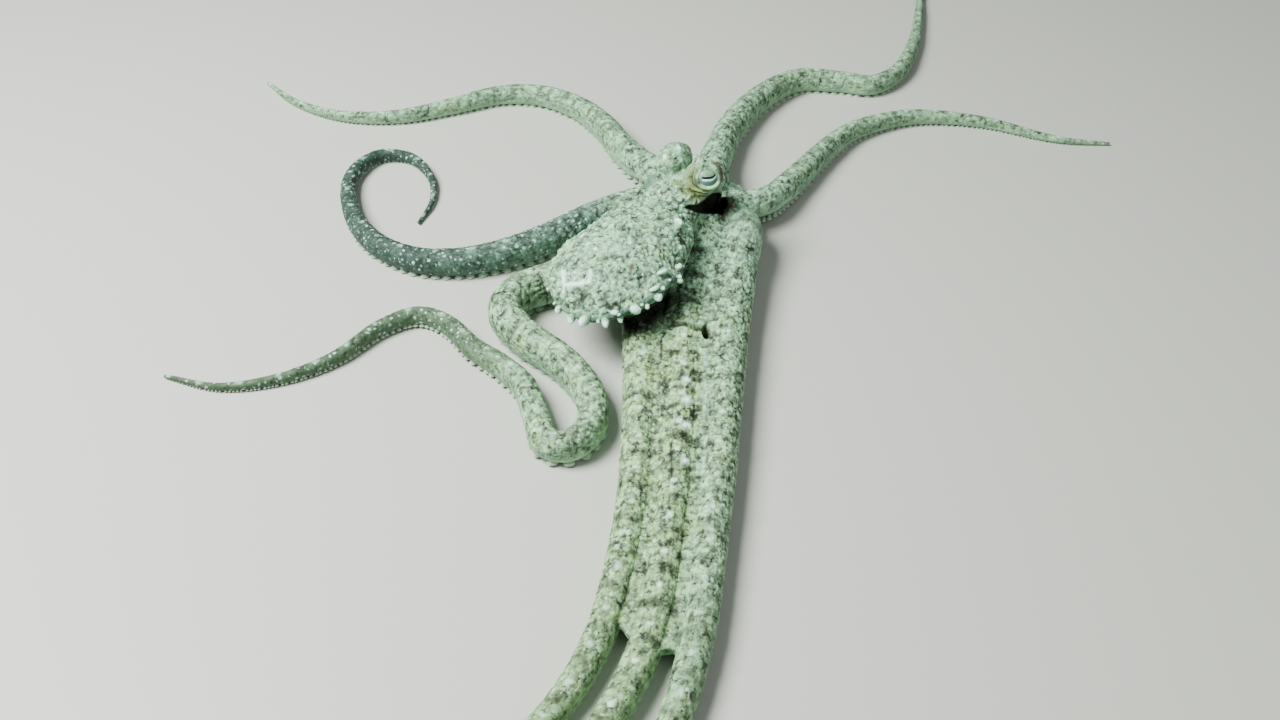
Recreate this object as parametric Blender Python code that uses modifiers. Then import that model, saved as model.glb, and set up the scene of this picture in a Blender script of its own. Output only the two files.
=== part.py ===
"""A long-armed sand octopus, life size, lying on the floor with its arms spread.

Metres, +Z up. The origin is on the floor under the mouth. The animal faces +X +Y, and the
bag of its body lies back towards -X -Y over the roots of the rear arms.
"""

import math
import random

import bmesh
import bpy
from mathutils import Matrix, Vector

MM = 0.001
GAP = 0.3 * MM

# The body's driving sizes
MANTLE_LENGTH = 60 * MM
MANTLE_WIDTH = 36 * MM
MANTLE_HEIGHT = 18 * MM
HEAD_WIDTH = 18 * MM
HEAD_HEIGHT = 22 * MM
HEAD_MIDDLE = 15 * MM
EYE_RADIUS = 4.2 * MM
EYE_HEIGHT = 26.5 * MM
EYE_SPACING = 12.5 * MM
EYE_OUT = 1.2 * MM
EYE_BULGE = (6.0 * MM, 5.2 * MM, 5.0 * MM)
EYE_STALK = (5.6 * MM, 5.2 * MM, 7.0 * MM)
EYE_STALK_DROP = 5 * MM
CROWN_RADIUS = 15 * MM
CROWN_HEIGHT = 13 * MM

# The arms' driving sizes
ARM_STOUTNESS = 0.36
ARM_TIP_RADIUS = 0.45 * MM
ARM_TAPER = 0.85
ROOT_RISE = 3 * MM
ROOT_RUN = 22 * MM
END_RING_SHARE = 0.36
TUBE_STEP = 12 * MM
TUBE_TURN = math.radians(22)
WEB_ROOT_THICKNESS, WEB_EDGE_THICKNESS = 3.2 * MM, 2.2 * MM
WEB_DROP = 0.4 * MM

# A sucker is a flared cup. Its sizes are shares of the arm's radius where it stands.
SUCKER_SIDES = 6
SUCKER_STAND = 1.2 * MM
SUCKER_RIM = 0.46
SUCKER_ROOT = 0.28
SUCKER_SUNK = 0.45
SUCKER_OFFSET = 0.46
SUCKER_PITCH = 6.0 * MM
SUCKER_PITCH_SHARE = 0.5
SUCKER_FIRST = 5 * MM
SUCKER_STALK_SHARE = 0.75
SUCKER_VARIATION = (0.86, 0.94, 1.0, 1.0, 1.06)

# The ragged fringe along the body bag's edge, and the skin's other raised points
FRINGE_COUNT = 19
FRINGE_FROM, FRINGE_TO = math.radians(-40), math.radians(88)
PAPILLA_SIDES = 5
PAPILLA_SIZES = ((2.2 * MM, 1.9 * MM), (2.7 * MM, 2.3 * MM), (3.2 * MM, 2.8 * MM))
# A papilla's root and tip as shares of its width, and how much of its height is sunk in the flesh
PAPILLA_ROOT, PAPILLA_TIP, PAPILLA_SUNK = 0.66, 0.16, 0.5
# Points on the bag's back, as turns and rises in degrees
BACK_POINTS = ((70, 48), (-75, 46), (150, 58), (-20, 55))

# Which way the animal faces, and which way its body lies back from the neck
FACING = math.radians(41)
BODY_TURN = math.radians(243)
HEAD_CENTRE = Vector((-2.5, -4.5, 0)) * MM
NECK_POINT = Vector((-9, -16, 20)) * MM
NECK_OFFSET = Vector((1, 2, -1)) * MM
NECK_RADII = Vector((11, 9.5, 7.5)) * MM
MANTLE_TIP = Vector((-33, -62, 16.5)) * MM
# The bag's two balls: how far from neck to tip each stands, and its shares of length and width
BAG_BALLS = ((0.46, 0.86, 0.86), (0.60, 0.66, 1.0))
OPENING_CENTRE = Vector((2.5, -10.5, 18.5)) * MM
OPENING_RADII = Vector((7, 5, 4.5)) * MM
SHOULDER_CENTRE = Vector((11.5, -12.5, 6)) * MM
SHOULDER_RADII = Vector((10, 7.2, 7.5)) * MM
SHOULDER_TURN = math.radians(-80)
FUNNEL_START = HEAD_CENTRE + Vector((-2, 4, 9.5)) * MM
FUNNEL_END = Vector((-14, 9.5, 13.5)) * MM
# The funnel's outline as shares along it and radii in mm, and its open end's depth and radii
FUNNEL_OUTLINE = ((0, 5.0), (0.35, 4.9), (0.7, 4.4), (0.9, 3.6), (1, 2.8))
FUNNEL_MOUTH_DEPTH = 5 * MM
FUNNEL_MOUTH_RADII = (1.2 * MM, 2.0 * MM)

# The flesh's grain and triangles, before suckers and papillae are joined to it
CROWN_VOXEL, CROWN_TRIANGLES = 1.1 * MM, 1150
BODY_VOXEL, BODY_TRIANGLES = 1.0 * MM, 1250
CROWN_END_SLAB, CROWN_END_SPREAD = 3.2 * MM, 2.6
# The block that takes away what would hang below the floor
FLOOR_BLOCK = Vector((0.4, 0.4, 0.1))

SKIN = (0.56, 0.60, 0.47)
BLUE_SKIN = (0.36, 0.44, 0.43)
EYE_COLOUR = (0.62, 0.60, 0.38)

# Each arm: the floor points, in mm, that its middle line passes over from the crown's rim
# to its tip, where its lengths are parted, in mm from the rim, and how far its row of
# suckers turns to the left of straight down, in degrees, at the root and at the tip.
ARMS = {
    "arm_r1": {
        "route": [(9, 3), (21, 7), (31, 22), (44, 43), (56, 57), (76, 66), (99, 64), (122, 54),
                  (140, 52)],
        "parts": [18, 75, 130],
        "roll": (0, 0),
    },
    "arm_r2": {
        "route": [(8, -4), (12.8, -12), (10.8, -28), (7.5, -54), (4.6, -81), (2, -107), (-1, -132),
                  (-4.5, -158), (-11, -181), (-21, -198), (-35, -213), (-55, -226), (-80, -233),
                  (-105, -234), (-128, -227)],
        "parts": [60, 130, 205, 262],
        "roll": (0, 0),
    },
    "arm_r3": {
        "route": [(3, -9), (0.2, -24), (-2.8, -42), (-5, -61), (-6, -81), (-8, -107), (-10.5, -130),
                  (-14.5, -156), (-24, -179), (-36, -193), (-54, -206), (-76, -215), (-100, -218),
                  (-124, -213), (-146, -203)],
        "parts": [53, 122, 196, 252],
        "roll": (0, 0),
    },
    "arm_r4": {
        "route": [(-4, -9), (-11, -26), (-15.5, -43), (-16.5, -62), (-16.5, -81), (-17.5, -106),
                  (-20, -130), (-26, -158), (-37, -179), (-51, -190), (-71, -199), (-94, -203),
                  (-118, -199), (-140, -189)],
        "parts": [45, 112, 180, 234],
        "roll": (0, 0),
    },
    "arm_l4": {
        "route": [(-9, -3), (-25, -18), (-41, -31), (-51, -37), (-54, -46), (-48, -56), (-37, -67),
                  (-30, -79), (-29, -90), (-34, -97.5), (-40.5, -96), (-43.5, -86), (-47, -75),
                  (-54, -66), (-62, -58.5), (-70, -48), (-79, -43.5), (-89, -49), (-99, -61),
                  (-112, -69), (-128, -72), (-144, -67)],
        "parts": [30, 62, 96, 128, 160, 198, 236],
        "roll": (0, 38),
    },
    "arm_l3": {
        "route": [(-8, 4), (-20, 4), (-32, -1), (-44, -9), (-56, -16), (-70, -20), (-84, -18), (-97, -8),
                  (-106, 9), (-109, 28), (-103, 41), (-92, 41), (-84, 30), (-82, 17), (-85, 5)],
        "parts": [24, 78, 118, 160],
        "roll": (0, 8),
    },
    "arm_l2": {
        "route": [(-3, 9), (-9, 20), (-16, 30), (-23, 43), (-29, 57), (-38, 70), (-51, 79),
                  (-66, 80), (-82, 73), (-99, 67), (-118, 68), (-136, 78), (-150, 94)],
        "parts": [26, 90, 140],
        "roll": (0, 0),
    },
    "arm_l1": {
        "route": [(4, 8), (6, 22), (8, 36), (14, 56), (24, 75), (38, 89), (53, 89), (65, 87), (76, 98),
                  (84, 118), (90, 142), (95, 166), (104, 188)],
        "parts": [27, 82, 116, 160],
        "roll": (0, 0),
    },
}
ARM_ORDER = ["arm_r1", "arm_r2", "arm_r3", "arm_r4", "arm_l4", "arm_l3", "arm_l2", "arm_l1"]
# How far out, in mm from the rim, the skin between each arm and the next one reaches
WEB_REACH = dict(zip(ARM_ORDER, (15, 60, 60, 16, 17, 17, 18, 17)))
# Arms further apart than this, at the skin's free edge, let it sag
WEB_SAG_FROM = 12 * MM
# The level line, in mm, along which the right arms' roots part from the crown
PARTING_LINE = ((-20, -30), (24, -17))


def clear_scene():
    for item in list(bpy.data.objects):
        bpy.data.objects.remove(item)


def material(name, colour, roughness=0.55):
    made = bpy.data.materials.new(name)
    made.use_nodes = True
    shader = made.node_tree.nodes["Principled BSDF"]
    shader.inputs["Base Color"].default_value = (*colour, 1)
    shader.inputs["Roughness"].default_value = roughness
    shader.inputs["Metallic"].default_value = 0
    return made


def smooth_route(points, step=1 * MM):
    """Points about a step apart on the smooth line through these ones."""
    ends = [2 * points[0] - points[1]] + points + [2 * points[-1] - points[-2]]
    line = []
    for before, start, end, after in zip(ends, ends[1:], ends[2:], ends[3:]):
        count = max(2, round((end - start).length / step))
        for i in range(count):
            t = i / count
            line.append(
                0.5
                * (
                    2 * start
                    + (end - before) * t
                    + (2 * before - 5 * start + 4 * end - after) * t * t
                    + (3 * start - before - 3 * end + after) * t * t * t
                )
            )
    return line + [points[-1]]


class Arm:
    """One arm's middle line and its thickness along it."""

    def __init__(self, name):
        self.name = name
        self.flat = smooth_route([Vector((x, y)) * MM for x, y in ARMS[name]["route"]])
        self.at = [0.0]
        for a, b in zip(self.flat, self.flat[1:]):
            self.at.append(self.at[-1] + (b - a).length)
        self.length = self.at[-1]
        self.root_radius = ARM_STOUTNESS * math.sqrt(self.length * MM)
        self.roll_ends = [math.radians(turn) for turn in ARMS[name]["roll"]]
        self.parts = [part * MM for part in ARMS[name]["parts"]] + [self.length]

    def radius(self, s):
        left = max(0.0, 1 - s / self.length)
        return ARM_TIP_RADIUS + (self.root_radius - ARM_TIP_RADIUS) * left**ARM_TAPER

    def stand(self, s):
        """How far the suckers stand out below the arm."""
        return SUCKER_STAND * (0.2 + 0.8 * self.radius(s) / self.root_radius)

    def sucker_radius(self, s):
        return SUCKER_RIM * self.radius(s)

    def roll(self, s):
        t = min(1.0, max(0.0, s / self.length))
        t = t * t * (3 - 2 * t)
        return self.roll_ends[0] + (self.roll_ends[1] - self.roll_ends[0]) * t

    def height(self, s):
        """The middle line's height, which sets the lowest rim on the floor and lifts the root."""
        r, turn = self.radius(s), abs(self.roll(s))
        widest = max(SUCKER_VARIATION) * self.sucker_radius(s)
        rim = (r + self.stand(s)) * math.cos(turn) + (SUCKER_OFFSET * r + widest) * math.sin(turn)
        return max(r, rim) + ROOT_RISE * math.exp(-((s / ROOT_RUN) ** 2))

    def floor_point(self, s):
        s = min(max(s, 0.0), self.length)
        i = max(1, next((k for k, v in enumerate(self.at) if v >= s), len(self.at) - 1))
        share = (s - self.at[i - 1]) / max(self.at[i] - self.at[i - 1], 1e-9)
        return self.flat[i - 1].lerp(self.flat[i], share)

    def point(self, s):
        return self.floor_point(s).to_3d() + Vector((0, 0, self.height(s)))

    def along(self, s):
        reach = 0.6 * MM
        return (self.point(min(s + reach, self.length)) - self.point(max(s - reach, 0))).normalized()

    def end_ring(self, s):
        """How far the ring beside a cut stands from it."""
        return END_RING_SHARE * self.radius(s)

    def stations(self, start, end):
        """Where rings go between two places: close together only where the arm bends."""
        found = [start, start + self.end_ring(start)]
        turned, last = 0.0, self.along(start)
        s = found[-1]
        while s < end - 1.6 * MM:
            s += 1 * MM
            now = self.along(s)
            turned += now.angle(last)
            last = now
            widest = min(TUBE_STEP, 3 * self.radius(s) + 3 * MM)
            closest = 0.6 * self.radius(s)
            if s - found[-1] >= widest or turned >= TUBE_TURN and s - found[-1] >= closest:
                found.append(s)
                turned = 0.0
        if end - found[-1] < self.radius(end) + 0.4 * MM:
            found.pop()
        if end < self.length - GAP:
            found.append(end - self.end_ring(end))
        return found + [end]

    def sucker_places(self, start, end):
        """Where the suckers stand along one length, clear of both its ends."""
        first = start + self.sucker_radius(start) + 0.8 * MM
        last = end - self.sucker_radius(end) - 0.6 * MM
        places = [first]
        while places[-1] < last:
            places.append(places[-1] + SUCKER_PITCH + SUCKER_PITCH_SHARE * self.radius(places[-1]))
        places.pop()
        spare = last - places[-1]
        return [s + spare * i / max(1, len(places) - 1) for i, s in enumerate(places)]


def join_collection(name, items):
    group = bpy.data.collections.new(name)
    for item in items:
        for old in list(item.users_collection):
            old.objects.unlink(item)
        group.objects.link(item)
    bpy.context.scene.collection.children.link(group)
    return group


def boolean(target, tools, operation, solver="EXACT"):
    """Applies one Boolean of these tools, and removes them."""
    group = join_collection("tools", tools)
    change = target.modifiers.new("join", "BOOLEAN")
    change.operation = operation
    change.solver = solver
    change.operand_type = "COLLECTION"
    change.collection = group
    apply_modifiers(target)
    for tool in tools:
        bpy.data.objects.remove(tool)
    bpy.data.collections.remove(group)
    return target


def apply_modifiers(item):
    bpy.context.view_layer.update()
    graph = bpy.context.evaluated_depsgraph_get()
    mesh = bpy.data.meshes.new_from_object(item.evaluated_get(graph))
    item.modifiers.clear()
    item.data = mesh


def mesh_object(name, mesh):
    made = bpy.data.objects.new(name, mesh)
    bpy.context.scene.collection.objects.link(made)
    return made


def copy_of(item, name):
    made = mesh_object(name, item.data.copy())
    made.matrix_world = item.matrix_world
    return made


def swollen(item, by=GAP):
    """A copy whose surface stands this far out."""
    made = copy_of(item, item.name + "_swollen")
    push = made.modifiers.new("swell", "DISPLACE")
    push.strength = by
    push.mid_level = 0
    apply_modifiers(made)
    return made


def keep_largest(item):
    """Drops the loose scraps that a cut can leave."""
    work = bmesh.new()
    work.from_mesh(item.data)
    left, islands = set(work.verts), []
    while left:
        island, edge = set(), {left.pop()}
        while edge:
            vertex = edge.pop()
            island.add(vertex)
            edge |= {e.other_vert(vertex) for e in vertex.link_edges} - island
        left -= island
        islands.append(island)
    islands.sort(key=len)
    bmesh.ops.delete(work, geom=[v for island in islands[:-1] for v in island], context="VERTS")
    work.to_mesh(item.data)
    work.free()


def tube(name, points, radii, sides_level=2):
    """A closed tube along these points, as a mesh."""
    path = bpy.data.curves.new(name, "CURVE")
    path.dimensions = "3D"
    path.bevel_depth = 1
    path.bevel_resolution = sides_level
    path.use_fill_caps = True
    line = path.splines.new("POLY")
    line.points.add(len(points) - 1)
    for place, point, radius in zip(line.points, points, radii):
        place.co = (*point, 1)
        place.radius = radius
    made = bpy.data.objects.new(name, path)
    bpy.context.scene.collection.objects.link(made)
    bpy.context.view_layer.update()
    graph = bpy.context.evaluated_depsgraph_get()
    mesh = bpy.data.meshes.new_from_object(made.evaluated_get(graph))
    bpy.data.objects.remove(made)
    work = bmesh.new()
    work.from_mesh(mesh)
    bmesh.ops.remove_doubles(work, verts=work.verts, dist=0.01 * MM)
    bmesh.ops.recalc_face_normals(work, faces=work.faces)
    work.to_mesh(mesh)
    work.free()
    return mesh_object(name, mesh)


def ellipsoid(name, centre, radii, turn=0.0, pitch=0.0, segments=32):
    """An ellipsoid whose long axis runs along the turn, tipped by the pitch."""
    work = bmesh.new()
    bmesh.ops.create_uvsphere(work, u_segments=segments, v_segments=segments // 2, radius=1)
    mesh = bpy.data.meshes.new(name)
    work.to_mesh(mesh)
    work.free()
    place = Matrix.Translation(centre) @ Matrix.Rotation(turn, 4, "Z") @ Matrix.Rotation(pitch, 4, "Y")
    mesh.transform(place @ Matrix.Diagonal((*radii, 1)))
    return mesh_object(name, mesh)


def arm_tube(arm, name, start, end):
    """One length of an arm, with its cut ends square to it, so that neighbours meet face to face."""
    stations = arm.stations(start, end)
    points = [arm.point(s) for s in stations]
    if start > 0:
        way = arm.along(start)
        points[0] = arm.point(start) + way * GAP
        points[1] = points[0] + way * arm.end_ring(start)
    if end < arm.length:
        points[-2] = points[-1] - arm.along(end) * arm.end_ring(end)
    return tube(name, points, [arm.radius(s) for s in stations])


def cup(name, place, out, along, radius, root_radius, height):
    """A flared cup of few sides, standing out from its sunk root, with a hollow face."""
    work = bmesh.new()
    bmesh.ops.create_cone(
        work, cap_ends=True, segments=SUCKER_SIDES, radius1=root_radius, radius2=radius, depth=height
    )
    rim = max(work.faces, key=lambda face: face.calc_center_median().z)
    for centre in bmesh.ops.poke(work, faces=[rim])["verts"]:
        centre.co.z -= SUCKER_SUNK * radius
    mesh = bpy.data.meshes.new(name)
    work.to_mesh(mesh)
    work.free()
    side = along.cross(out).normalized()
    turn = Matrix((side, out.cross(side), out)).transposed().to_4x4()
    mesh.transform(Matrix.Translation(place) @ turn @ Matrix.Translation((0, 0, -height / 2)))
    return mesh_object(name, mesh)


def suckers(arm, start, end, chance, row):
    """Two alternating rows of suckers along one length of an arm."""
    made = []
    for i, s in enumerate(arm.sucker_places(start, end)):
        along = arm.along(s)
        along = Vector((along.x, along.y, 0)).normalized()
        down = Matrix.Rotation(arm.roll(s), 3, along) @ Vector((0, 0, -1))
        side = along.cross(down)
        r = arm.radius(s)
        size = chance.choice(SUCKER_VARIATION)
        spin = Matrix.Rotation(chance.uniform(0, math.tau), 3, down) @ along
        hand = 1 if (i + row) % 2 else -1
        face = arm.point(s) + down * (r + arm.stand(s)) + side * hand * SUCKER_OFFSET * r
        height = arm.stand(s) + SUCKER_STALK_SHARE * r
        radii = (arm.sucker_radius(s) * size, SUCKER_ROOT * r)
        made.append(cup("sucker", face, down, spin, *radii, height))
    return made


def papilla(place, out, width, height):
    """A raised point of skin, as wide as this at the skin, with its root sunk in the flesh."""
    root, tip = PAPILLA_ROOT * width, PAPILLA_TIP * width
    work = bmesh.new()
    bmesh.ops.create_cone(
        work,
        cap_ends=True,
        segments=PAPILLA_SIDES,
        radius1=root,
        radius2=tip,
        depth=(1 + PAPILLA_SUNK) * height,
    )
    bmesh.ops.translate(work, verts=work.verts, vec=(0, 0, (1 - PAPILLA_SUNK) * height / 2))
    mesh = bpy.data.meshes.new("papilla")
    work.to_mesh(mesh)
    work.free()
    mesh.transform(Matrix.Translation(place) @ out.to_track_quat("Z", "Y").to_matrix().to_4x4())
    return mesh_object("papilla", mesh)


def web_sheet(first, second, reach):
    """The skin between two arms: a closed sheet whose free edge sags in where they stand apart."""
    rows, columns = 8, 8
    reaches = [min(reach, arm.parts[0] + 1.5 * MM) for arm in (first, second)]
    apart = (first.point(reaches[0]) - second.point(reaches[1])).length
    depth = 0.9 * min(1.0, max(0.0, apart / WEB_SAG_FROM - 1))
    work = bmesh.new()
    layers = []
    for side in (-1, 1):
        grid = []
        for i in range(rows + 1):
            line = []
            for j in range(columns + 1):
                share = j / columns
                out = (i / rows) * (1 - depth * share * (1 - share))
                place = first.point(reaches[0] * out).lerp(second.point(reaches[1] * out), share)
                thick = WEB_ROOT_THICKNESS + (WEB_EDGE_THICKNESS - WEB_ROOT_THICKNESS) * i / rows
                place.z += side * thick / 2 - WEB_DROP
                line.append(work.verts.new(place))
            grid.append(line)
        layers.append(grid)
    low, high = layers
    for i in range(rows):
        for j in range(columns):
            work.faces.new([low[i][j], low[i][j + 1], low[i + 1][j + 1], low[i + 1][j]])
            work.faces.new([high[i][j], high[i + 1][j], high[i + 1][j + 1], high[i][j + 1]])
    rim = [(i, 0) for i in range(rows + 1)] + [(rows, j) for j in range(1, columns + 1)]
    rim += [(i, columns) for i in range(rows - 1, -1, -1)] + [(0, j) for j in range(columns - 1, 0, -1)]
    for (a, b), (c, d) in zip(rim, rim[1:] + rim[:1]):
        work.faces.new([low[a][b], low[c][d], high[c][d], high[a][b]])
    bmesh.ops.recalc_face_normals(work, faces=work.faces)
    mesh = bpy.data.meshes.new("web_" + first.name)
    work.to_mesh(mesh)
    work.free()
    return mesh_object("web_" + first.name, mesh)


def flesh(name, pieces, voxel, triangles, smoothing=6):
    """One smooth closed form out of overlapping pieces, brought down to about this many triangles."""
    joined = bmesh.new()
    for piece in pieces:
        joined.from_mesh(piece.data)
        bpy.data.objects.remove(piece)
    mesh = bpy.data.meshes.new(name)
    joined.to_mesh(mesh)
    joined.free()
    made = mesh_object(name, mesh)
    shell = made.modifiers.new("one skin", "REMESH")
    shell.mode = "VOXEL"
    shell.voxel_size = voxel
    soften = made.modifiers.new("soften", "SMOOTH")
    soften.factor = 0.5
    soften.iterations = smoothing
    apply_modifiers(made)
    made.data.calc_loop_triangles()
    thin = made.modifiers.new("fewer faces", "DECIMATE")
    thin.ratio = triangles / len(made.data.loop_triangles)
    apply_modifiers(made)
    keep_largest(made)
    return made


def floor_cutter():
    work = bmesh.new()
    bmesh.ops.create_cube(work, size=1)
    mesh = bpy.data.meshes.new("below_floor")
    work.to_mesh(mesh)
    work.free()
    mesh.transform(Matrix.Translation((0, 0, -FLOOR_BLOCK.z / 2)) @ Matrix.Diagonal((*FLOOR_BLOCK, 1)))
    return mesh_object("below_floor", mesh)


def slab(name, centre, normal, size, thick=GAP):
    """A thin plate that parts a form."""
    work = bmesh.new()
    bmesh.ops.create_cube(work, size=1)
    mesh = bpy.data.meshes.new(name)
    work.to_mesh(mesh)
    work.free()
    turn = normal.to_track_quat("Z", "Y").to_matrix().to_4x4()
    mesh.transform(Matrix.Translation(centre) @ turn @ Matrix.Diagonal((size, size, thick, 1)))
    return mesh_object(name, mesh)


def make_crown(arms):
    """The ring where the arms meet round the mouth, with their roots and the skin between them."""
    middle = Vector((0, 0, 0.45 * CROWN_HEIGHT))
    pieces = [
        ellipsoid("dome", middle, (CROWN_RADIUS, CROWN_RADIUS, 0.55 * CROWN_HEIGHT)),
        ellipsoid("shoulder", SHOULDER_CENTRE, SHOULDER_RADII, SHOULDER_TURN),
    ]
    for name, following in zip(ARM_ORDER, ARM_ORDER[1:] + ARM_ORDER[:1]):
        arm, other = arms[name], arms[following]
        pieces.append(arm_tube(arm, name + "_root", 0.0, arm.parts[0] + 2 * MM))
        pieces.append(web_sheet(arm, other, WEB_REACH[name] * MM))
    crown = flesh("arm_roots", pieces, CROWN_VOXEL, CROWN_TRIANGLES)
    cups = []
    for arm in arms.values():
        cups += suckers(arm, SUCKER_FIRST, arm.parts[0], random.Random(arm.name), 0)
    boolean(crown, cups, "UNION")
    cutters = [floor_cutter()]
    for arm in arms.values():
        # The face where an arm's first length begins, square to the arm
        size = CROWN_END_SPREAD * arm.radius(arm.parts[0])
        normal = arm.along(arm.parts[0])
        centre = arm.point(arm.parts[0]) + normal * CROWN_END_SLAB / 2
        cutters.append(slab(arm.name + "_end", centre, normal, size, CROWN_END_SLAB))
    start, end = (Vector((x, y, 0)) * MM for x, y in PARTING_LINE)
    way = (end - start).normalized()
    across = Vector((way.y, -way.x, 0))
    size = (end - start).length
    cutters.append(slab("root_parting", (start + end) / 2, across, size))
    boolean(crown, cutters, "DIFFERENCE")
    roots = (start + end) / 2 + across * 25 * MM
    return split_loose(crown, {"crown": Vector((0, 0, 0)), "web_right": roots})


def side_of_head(sign):
    """The level direction out to the animal's right (-1) or left (1)."""
    return Vector((-math.sin(FACING), math.cos(FACING), 0)) * sign


def eye_centre(sign):
    return HEAD_CENTRE + side_of_head(sign) * EYE_SPACING / 2 + Vector((0, 0, EYE_HEIGHT))


def make_eyes():
    eyes = []
    for name, sign in (("eye_right", -1), ("eye_left", 1)):
        centre = eye_centre(sign) + side_of_head(sign) * EYE_OUT
        eyes.append(ellipsoid(name, centre, (EYE_RADIUS,) * 3, FACING, segments=14))
    return eyes


def raised_points(centre, radii, turn, pitch):
    """The fringe along the body bag's rear edge, and a few points on its back and over the eyes."""
    chance = random.Random(5)
    place = Matrix.Translation(centre) @ Matrix.Rotation(turn, 4, "Z") @ Matrix.Rotation(pitch, 4, "Y")
    made = []

    def on_bag(angle, rise, size):
        level, up = math.cos(rise), math.sin(rise)
        spot = [r * way for r, way in zip(radii, (math.cos(angle) * level, math.sin(angle) * level, up))]
        out = Vector([way / r**2 for r, way in zip(radii, spot)]).normalized()
        made.append(papilla(place @ Vector(spot), (place.to_3x3() @ out).normalized(), *size))

    for i in range(FRINGE_COUNT):
        share = (i + chance.uniform(-0.25, 0.25)) / (FRINGE_COUNT - 1)
        angle = FRINGE_FROM + (FRINGE_TO - FRINGE_FROM) * share
        on_bag(angle, math.radians(chance.uniform(-24, -8)), chance.choice(PAPILLA_SIZES))
    for angle, rise in BACK_POINTS:
        on_bag(math.radians(angle), math.radians(rise), PAPILLA_SIZES[1])
    for sign in (-1, 1):
        top = eye_centre(sign) + Vector((0, 0, 4.6)) * MM - side_of_head(sign) * 1.2 * MM
        made.append(papilla(top, Vector((0, 0, 1)), *PAPILLA_SIZES[2]))
        made.append(papilla(top - side_of_head(sign) * 2.4 * MM, Vector((0, 0, 1)), *PAPILLA_SIZES[0]))
    return made


def make_head_and_mantle():
    """The head with its two raised eye bulges, and the bag of the body behind it."""
    half = HEAD_WIDTH / 2
    skull = HEAD_CENTRE + Vector((0, 0, HEAD_MIDDLE))
    pieces = [ellipsoid("skull", skull, (0.95 * half, half, HEAD_HEIGHT / 2), FACING)]
    for sign in (-1, 1):
        centre = eye_centre(sign)
        pieces.append(ellipsoid("bulge", centre, EYE_BULGE, FACING))
        pieces.append(ellipsoid("stalk", centre - Vector((0, 0, EYE_STALK_DROP)), EYE_STALK, FACING))
    pieces.append(ellipsoid("neck", NECK_POINT + NECK_OFFSET, NECK_RADII, BODY_TURN))
    back = (MANTLE_TIP - NECK_POINT).normalized()
    pitch = -math.asin(back.z)
    turn = math.atan2(back.y, back.x)
    for share, long, wide in BAG_BALLS:
        centre = NECK_POINT.lerp(MANTLE_TIP, share)
        tall = 0.9 + 0.1 * wide
        radii = Vector((MANTLE_LENGTH * long, MANTLE_WIDTH * wide, MANTLE_HEIGHT * tall)) / 2
        pieces.append(ellipsoid("bag", centre, radii, turn, pitch))
    body = flesh("body", pieces, BODY_VOXEL, BODY_TRIANGLES)
    boolean(body, raised_points(centre, radii, turn, pitch), "UNION")
    keep_largest(body)
    # The dark way into the body's cavity, under the right eye
    opening = ellipsoid("opening", OPENING_CENTRE, OPENING_RADII, FACING, segments=14)
    return boolean(body, [opening], "DIFFERENCE")


def make_funnel():
    """The short breathing tube that shows on the left of the head, open at its end."""
    places = [FUNNEL_START.lerp(FUNNEL_END, share) for share, _ in FUNNEL_OUTLINE]
    body = tube("funnel", places, [radius * MM for _, radius in FUNNEL_OUTLINE], 3)
    out = (FUNNEL_END - FUNNEL_START).normalized()
    inside = [FUNNEL_END - out * FUNNEL_MOUTH_DEPTH, FUNNEL_END + out * 2 * MM]
    boolean(body, [tube("funnel_mouth", inside, FUNNEL_MOUTH_RADII)], "DIFFERENCE")
    return body


def split_loose(item, names):
    """Parts an object that a cut has left in pieces. Each name takes the piece nearest its point."""
    work = bmesh.new()
    work.from_mesh(item.data)
    left, islands = set(work.verts), []
    while left:
        island, edge = set(), {left.pop()}
        while edge:
            vertex = edge.pop()
            island.add(vertex)
            edge |= {e.other_vert(vertex) for e in vertex.link_edges} - island
        left -= island
        islands.append([v.index for v in island])
    work.free()
    islands = sorted(islands, key=len)[-len(names):]
    made = []
    for name, point in names.items():
        def spread(island):
            middle = sum((item.data.vertices[i].co for i in island), Vector()) / len(island)
            return (middle - point).length
        chosen = set(min(islands, key=spread))
        piece = copy_of(item, name)
        work = bmesh.new()
        work.from_mesh(piece.data)
        bmesh.ops.delete(work, geom=[v for v in work.verts if v.index not in chosen], context="VERTS")
        work.to_mesh(piece.data)
        work.free()
        made.append(piece)
    bpy.data.objects.remove(item)
    return made


def finish(item, group, look):
    item.data.materials.clear()
    item.data.materials.append(look)
    item.data.shade_smooth()
    for old in list(item.users_collection):
        old.objects.unlink(item)
    group.objects.link(item)


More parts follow.
